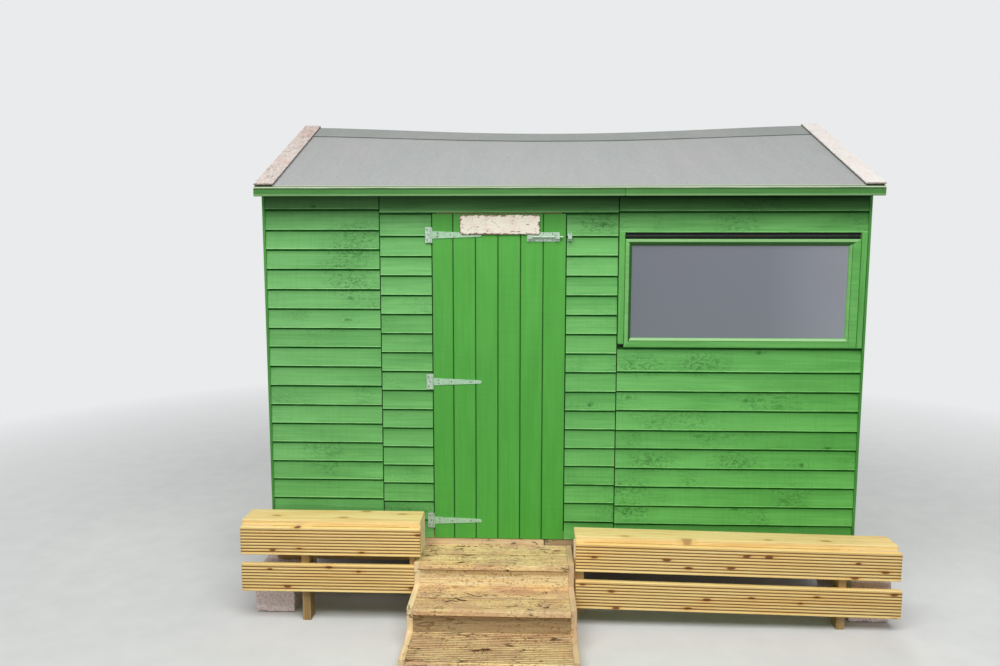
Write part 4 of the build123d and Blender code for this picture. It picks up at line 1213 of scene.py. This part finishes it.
treads = Pieces()
risers = Pieces()
draw = Random(7)
for number, (rear, face, top) in enumerate(zip(step_backs, step_faces, step_tops)):
    nose = face - nosing
    depth = (rear - nose - tread_gap) / 2
    lowest = number == step_count - 1
    for part, y0 in enumerate((nose, nose + depth + tread_gap)):
        board = draw.random()

        def place(along, back, height):
            wear = abs(ripple(along * 3.3, back * 14, board * 40, 0.0012)) * (height > -0.012)
            on_front = back < 0.003 and height > -0.02
            edge = 0.0012 * abs(ripple(along * 9, number, board * 10, 1.0)) * on_front
            end_round = max(0.0, 1 - abs(along - tread_lo.x) / 0.012) * 0.004 * (back < 0.006)
            return Vector((along, y0 + back + edge + end_round * (part == 0), top + height - wear))
        strip_boards(treads, place, tread_outline(depth, lowest, part == 0), tread_lo.x, tread_hi.x, board,
                     step=0.03, ends=0.002)
    foot = 0.0 if lowest else step_tops[number + 1] - tread_thickness
    head = top - tread_thickness - seat_gap
    # The second riser's tone is painted shade under the nosing above it
    beam(risers, (riser_lo.x, face, foot), (riser_hi.x, face + riser_thickness, head), 0, draw.random(),
         edge=0.0012, wobble=0.001, tone=0.66 * (number == 1))
treads.build("tread_boards", step_wood, replaced=("step_treads",))
risers.build("riser_boards", riser_wood, replaced=("step_risers",))

# Stringers, saw-cut to the steps. Each corner of a stringer has the way in that its easing takes.
stringer_width = 0.029
stringer_ease = 0.002
saw_cut = [Vector((stringer_hi.y, 0.0)), Vector((stringer_hi.y, step_tops[0]))]
for face, top, below in zip(step_faces, step_tops, step_tops[1:] + [0.0]):
    saw_cut += [Vector((face, top)), Vector((face, below))]
side_outline = []
for k, here in enumerate(saw_cut):
    before = here - saw_cut[k - 1]
    after = saw_cut[(k + 1) % len(saw_cut)] - here
    turned_in = before.x * after.y - before.y * after.x > 0
    inward = (after.normalized() - before.normalized()) * (1 if turned_in else -1) * (here.y > 0)
    side_outline.append((here, inward))
stringers = Pieces()


def stringer_point(station, here, inward, tone):
    spot = here + inward * station[1]
    return Vector((station[0], spot.x, spot.y))


# The right stringer's tone is painted shade, darker than the lit left one
for x0, board, tone in ((stringer_lo.x, 0.2, 0.0), (stringer_hi.x - stringer_width, 0.7, 0.45)):
    stringers.sweep(stations(x0, x0 + stringer_width, 1, stringer_ease),
                    [(here, inward, tone) for here, inward in side_outline], stringer_point, board)
stringers.build("stringer_boards", side_wood, replaced=("step_stringers",))

# Screws of the hinges, padbolt and keeper. A hinge's height is read from its fixed plate.
plate_heights = sorted({round(vertex.co.z, 4) for vertex in nodes["hinge_plates"].data.vertices})
hinges = [[plate_heights[0]]]
for height in plate_heights[1:]:
    if height - hinges[-1][-1] > 0.2:
        hinges.append([])
    hinges[-1].append(height)
hinge_middles = [(hinge[0] + hinge[-1]) / 2 for hinge in hinges]
hinge_metal = 0.003
screw_radius = 0.0042
small_screw_radius = screw_radius * 0.85
screw_dome = 0.0009
plate_half = 0.0145
plate_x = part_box("hinge_plates")[0].x + plate_half
strap_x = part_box("hinge_straps")[0].x
bolt_plate_lo, bolt_plate_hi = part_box("padbolt_plate")
keeper_lo, keeper_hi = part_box("padbolt_keeper")
bolt_z = (bolt_plate_lo.z + bolt_plate_hi.z) / 2
plate_holes = ((plate_x - 0.004, -0.026), (plate_x + 0.004, 0.0), (plate_x - 0.004, 0.026))
strap_holes = ((strap_x + 0.034, 0.009), (strap_x + 0.034, -0.009), (strap_x + 0.10, 0.0),
               (strap_x + 0.20, 0.0))
bolt_holes = [(bolt_plate_lo.x + along, rise) for along in (0.036, 0.083, 0.130)
              for rise in (-0.0165, 0.0165)]
keeper_holes = [((keeper_lo.x + keeper_hi.x) / 2, rise) for rise in (-0.0148, 0.0148)]
for name, body, seed, radius, middles, holes in (
        ("plate_screws", "shed", 61, screw_radius, hinge_middles, plate_holes),
        ("strap_screws", "door", 61, screw_radius, hinge_middles, strap_holes),
        ("padbolt_screws", "door", 62, small_screw_radius, (bolt_z,), bolt_holes),
        ("keeper_screws", "shed", 62, small_screw_radius, (bolt_z,), keeper_holes)):
    screws = Pieces()
    draw = Random(seed)
    for middle in middles:
        for x, rise in holes:
            screws.stud(Vector((x, leaf_lo.y - hinge_metal, middle + rise)), (0, -1, 0), radius, screw_dome,
                        draw.random(), sides=12)
    screws.build(name, dull_zinc, body=body)

# Sign board on the door, with rounded corners, chipped edges and a bare face
sign_lo, sign_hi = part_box("sign_plate")
corner = 0.012
corner_steps = 6
edge_pitch = 0.008
chip_pitch = 45
chip_depth = 0.0022
soft_x = 0.15
soft_z = 0.03
rounded = []
left, right = sign_lo.x + corner, sign_hi.x - corner
low, high = sign_lo.z + corner, sign_hi.z - corner
for cx, cz, first in ((right, high, 0), (left, high, 1), (left, low, 2), (right, low, 3)):
    for k in range(corner_steps + 1):
        angle = pi / 2 * (first + k / corner_steps)
        rounded.append((cx + corner * cos(angle), cz + corner * sin(angle)))
rim = []
for (xa, za), (xb, zb) in zip(rounded, rounded[1:] + rounded[:1]):
    parts = max(1, int(Vector((xb - xa, zb - za)).length / edge_pitch))
    rim += [(xa + (xb - xa) * k / parts, za + (zb - za) * k / parts) for k in range(parts)]
sign_middle = ((sign_lo.x + sign_hi.x) / 2, (sign_lo.z + sign_hi.z) / 2)


def drawn_in(value, middle, inset, soft):
    """Coordinate moved towards the middle, less so where it is nearer to it than soft."""
    off = value - middle
    return value - inset * (1 if off > 0 else -1) * min(1, abs(off) / soft)


# Rings from the back to the middle of the face: depth, how far in, tone
sign = Pieces()
sign_rings = ((sign_hi.y, 0.0, 1.0), (sign_lo.y + 0.0016, 0.0, 1.0), (sign_lo.y + 0.0004, 0.0012, 1.0),
              (sign_lo.y, 0.003, 0.7), (sign_lo.y, 0.009, 0.2), (sign_lo.y, 0.02, 0.0))
rings = []
for y, inset, tone in sign_rings:
    reaches = [inset + abs(ripple(x * chip_pitch, z * chip_pitch, 2.0, chip_depth)) for x, z in rim]
    rings.append([Vector((drawn_in(x, sign_middle[0], reach, soft_x), y,
                          drawn_in(z, sign_middle[1], reach, soft_z)))
                  for (x, z), reach in zip(rim, reaches)])
sign.loft(rings, [tone for y, inset, tone in sign_rings for spot in rim], 0.5)
sign.build("sign_board", cream_paint, body="door", replaced=("sign_plate",), angle=50)

# Solids whose shape stays, with eased edges and their own finish
kept = (
    (concrete, 0.0, ("block_piers",)),
    (edge_wood, 0.002, ("floor_edge_boards",)),
    (corner_paint, 0.002, ("corner_trims",)),
    (jamb_wood, 0.002, ("front_studs",)),
    (frame_wood["x"], 0.001, ("floor_boards",)),
    (frame_wood["x"], 0.0, ("roof_deck_front", "roof_deck_back")),
    (frame_wood["x"], 0.002, ("floor_bearers", "front_rails", "rear_rails", "ridge_beam", "eaves_rails",
                              "door_ledges")),
    (frame_wood["y"], 0.002, ("floor_joists", "gable_rails")),
    (frame_wood["z"], 0.002, ("rear_studs", "gable_studs")),
    (pane, 0.0, ("window_pane",)),
    (strap_zinc, 0.0006, ("hinge_straps",)),
    (zinc, 0.0006, ("hinge_plates", "padbolt_plate", "padbolt_bolt", "padbolt_keeper")),
    (post_wood, 0.003, ("bench_posts",)),
)
for material, ease, names in kept:
    for name in names:
        solid = nodes[name]
        solid.data.materials.clear()
        solid.data.materials.append(material)
        if ease:
            bevel = solid.modifiers.new("eased edges", "BEVEL")
            bevel.width = ease
            bevel.segments = 2
            bevel.limit_method = "ANGLE"
            bevel.angle_limit = radians(40)

# Rough faces of the blocks, sunk into the solid and never out of it
rubble = bpy.data.textures.new("rubble", "CLOUDS")
rubble.noise_scale = 0.03
rubble.noise_depth = 2
piers = nodes["block_piers"]
finer = piers.modifiers.new("finer faces", "REMESH")
finer.mode = "VOXEL"
finer.voxel_size = 0.009
lumps = piers.modifiers.new("rubble face", "DISPLACE")
lumps.texture = rubble
lumps.texture_coords = "LOCAL"
lumps.strength = 0.012
lumps.mid_level = 1.0


def seen_directly(tree):
    """One for the camera's rays, in reflections and through glass, and nought for diffuse light."""
    path = add_node(tree, "LightPath").outputs
    either = add_node(tree, "Math", {0: path["Is Camera Ray"], 1: path["Is Glossy Ray"]}, operation="MAXIMUM")
    return add_node(tree, "Math", {0: either.outputs[0], 1: path["Is Transmission Ray"]},
                    operation="MAXIMUM").outputs[0]


# Floor, backdrop and light. To the camera and in reflections the floor is pale and runs out into a
# plain pale backdrop. To the light that it throws back up it is darker, as ground would be.
ground = Shading("studio floor")
seen = seen_directly(ground.tree)
speck = ground.noise(ground.place, scale=6.0, detail=3)
pale_floor = ground.ramp(speck, (0.3, linear(224, 224, 222)), (0.7, linear(230, 230, 228)))
studio_floor = ground.finish(ground.mix(seen, linear(128, 126, 122), pale_floor), 0.9, specular=0.1)
away = ground.node("VectorMath", {0: ground.place}, operation="LENGTH").outputs["Value"]
far = ground.ramp(ground.times(away, 0.1), (0.32, 0.0), (0.68, 1.0))
glow = ground.node("Emission", {"Color": BACKDROP}).outputs[0]
surface = ground.node("MixShader", {0: ground.times(far, seen), 1: ground.shader.outputs[0], 2: glow})
feed(ground.tree, ground.tree.nodes["Material Output"].inputs["Surface"], surface.outputs[0])

floor_reach = 18.0
floor_level = -0.0005
floor_sides = 64
turns = [2 * pi * k / floor_sides for k in range(floor_sides)]
floor_rim = [(floor_reach * cos(turn), floor_reach * sin(turn), floor_level) for turn in turns]
floor_mesh = bpy.data.meshes.new("studio_floor")
floor_mesh.from_pydata(floor_rim, [], [tuple(range(floor_sides))])
floor_mesh.materials.append(studio_floor)
add_object("studio_floor", floor_mesh)

world = bpy.data.worlds.new("studio")
world.use_nodes = True
sky = world.node_tree
sky_light = sky.nodes["Background"]
sky_light.inputs["Color"].default_value = linear(238, 242, 248)
sky_light.inputs["Strength"].default_value = 0.28
sky_seen = add_node(sky, "Background", {"Color": BACKDROP})
sky_mix = add_node(sky, "MixShader", {0: seen_directly(sky), 1: sky_light.outputs[0], 2: sky_seen.outputs[0]})
feed(sky, sky.nodes["World Output"].inputs["Surface"], sky_mix.outputs[0])
scene.world = world


def lamp(name, place, target, width, height, power):
    """Soft area lamp aimed at a point."""
    light = bpy.data.lights.new(name, "AREA")
    light.shape = "RECTANGLE"
    light.size = width
    light.size_y = height
    light.energy = power
    holder = add_object(name, light)
    holder.location = place
    holder.rotation_euler = (Vector(target) - Vector(place)).to_track_quat("-Z", "Y").to_euler()
    holder.visible_camera = False


lamp("sky", (-0.4, -4.2, 6.2), (0, -0.6, 0.9), 7.0, 3.4, 405)
lamp("front fill", (-0.2, -6.6, 0.5), (0, -1.0, 0.4), 6.5, 0.8, 66)
lamp("back", (1.5, 6.0, 6.0), (0, 0, 1.0), 6.0, 3.0, 240)
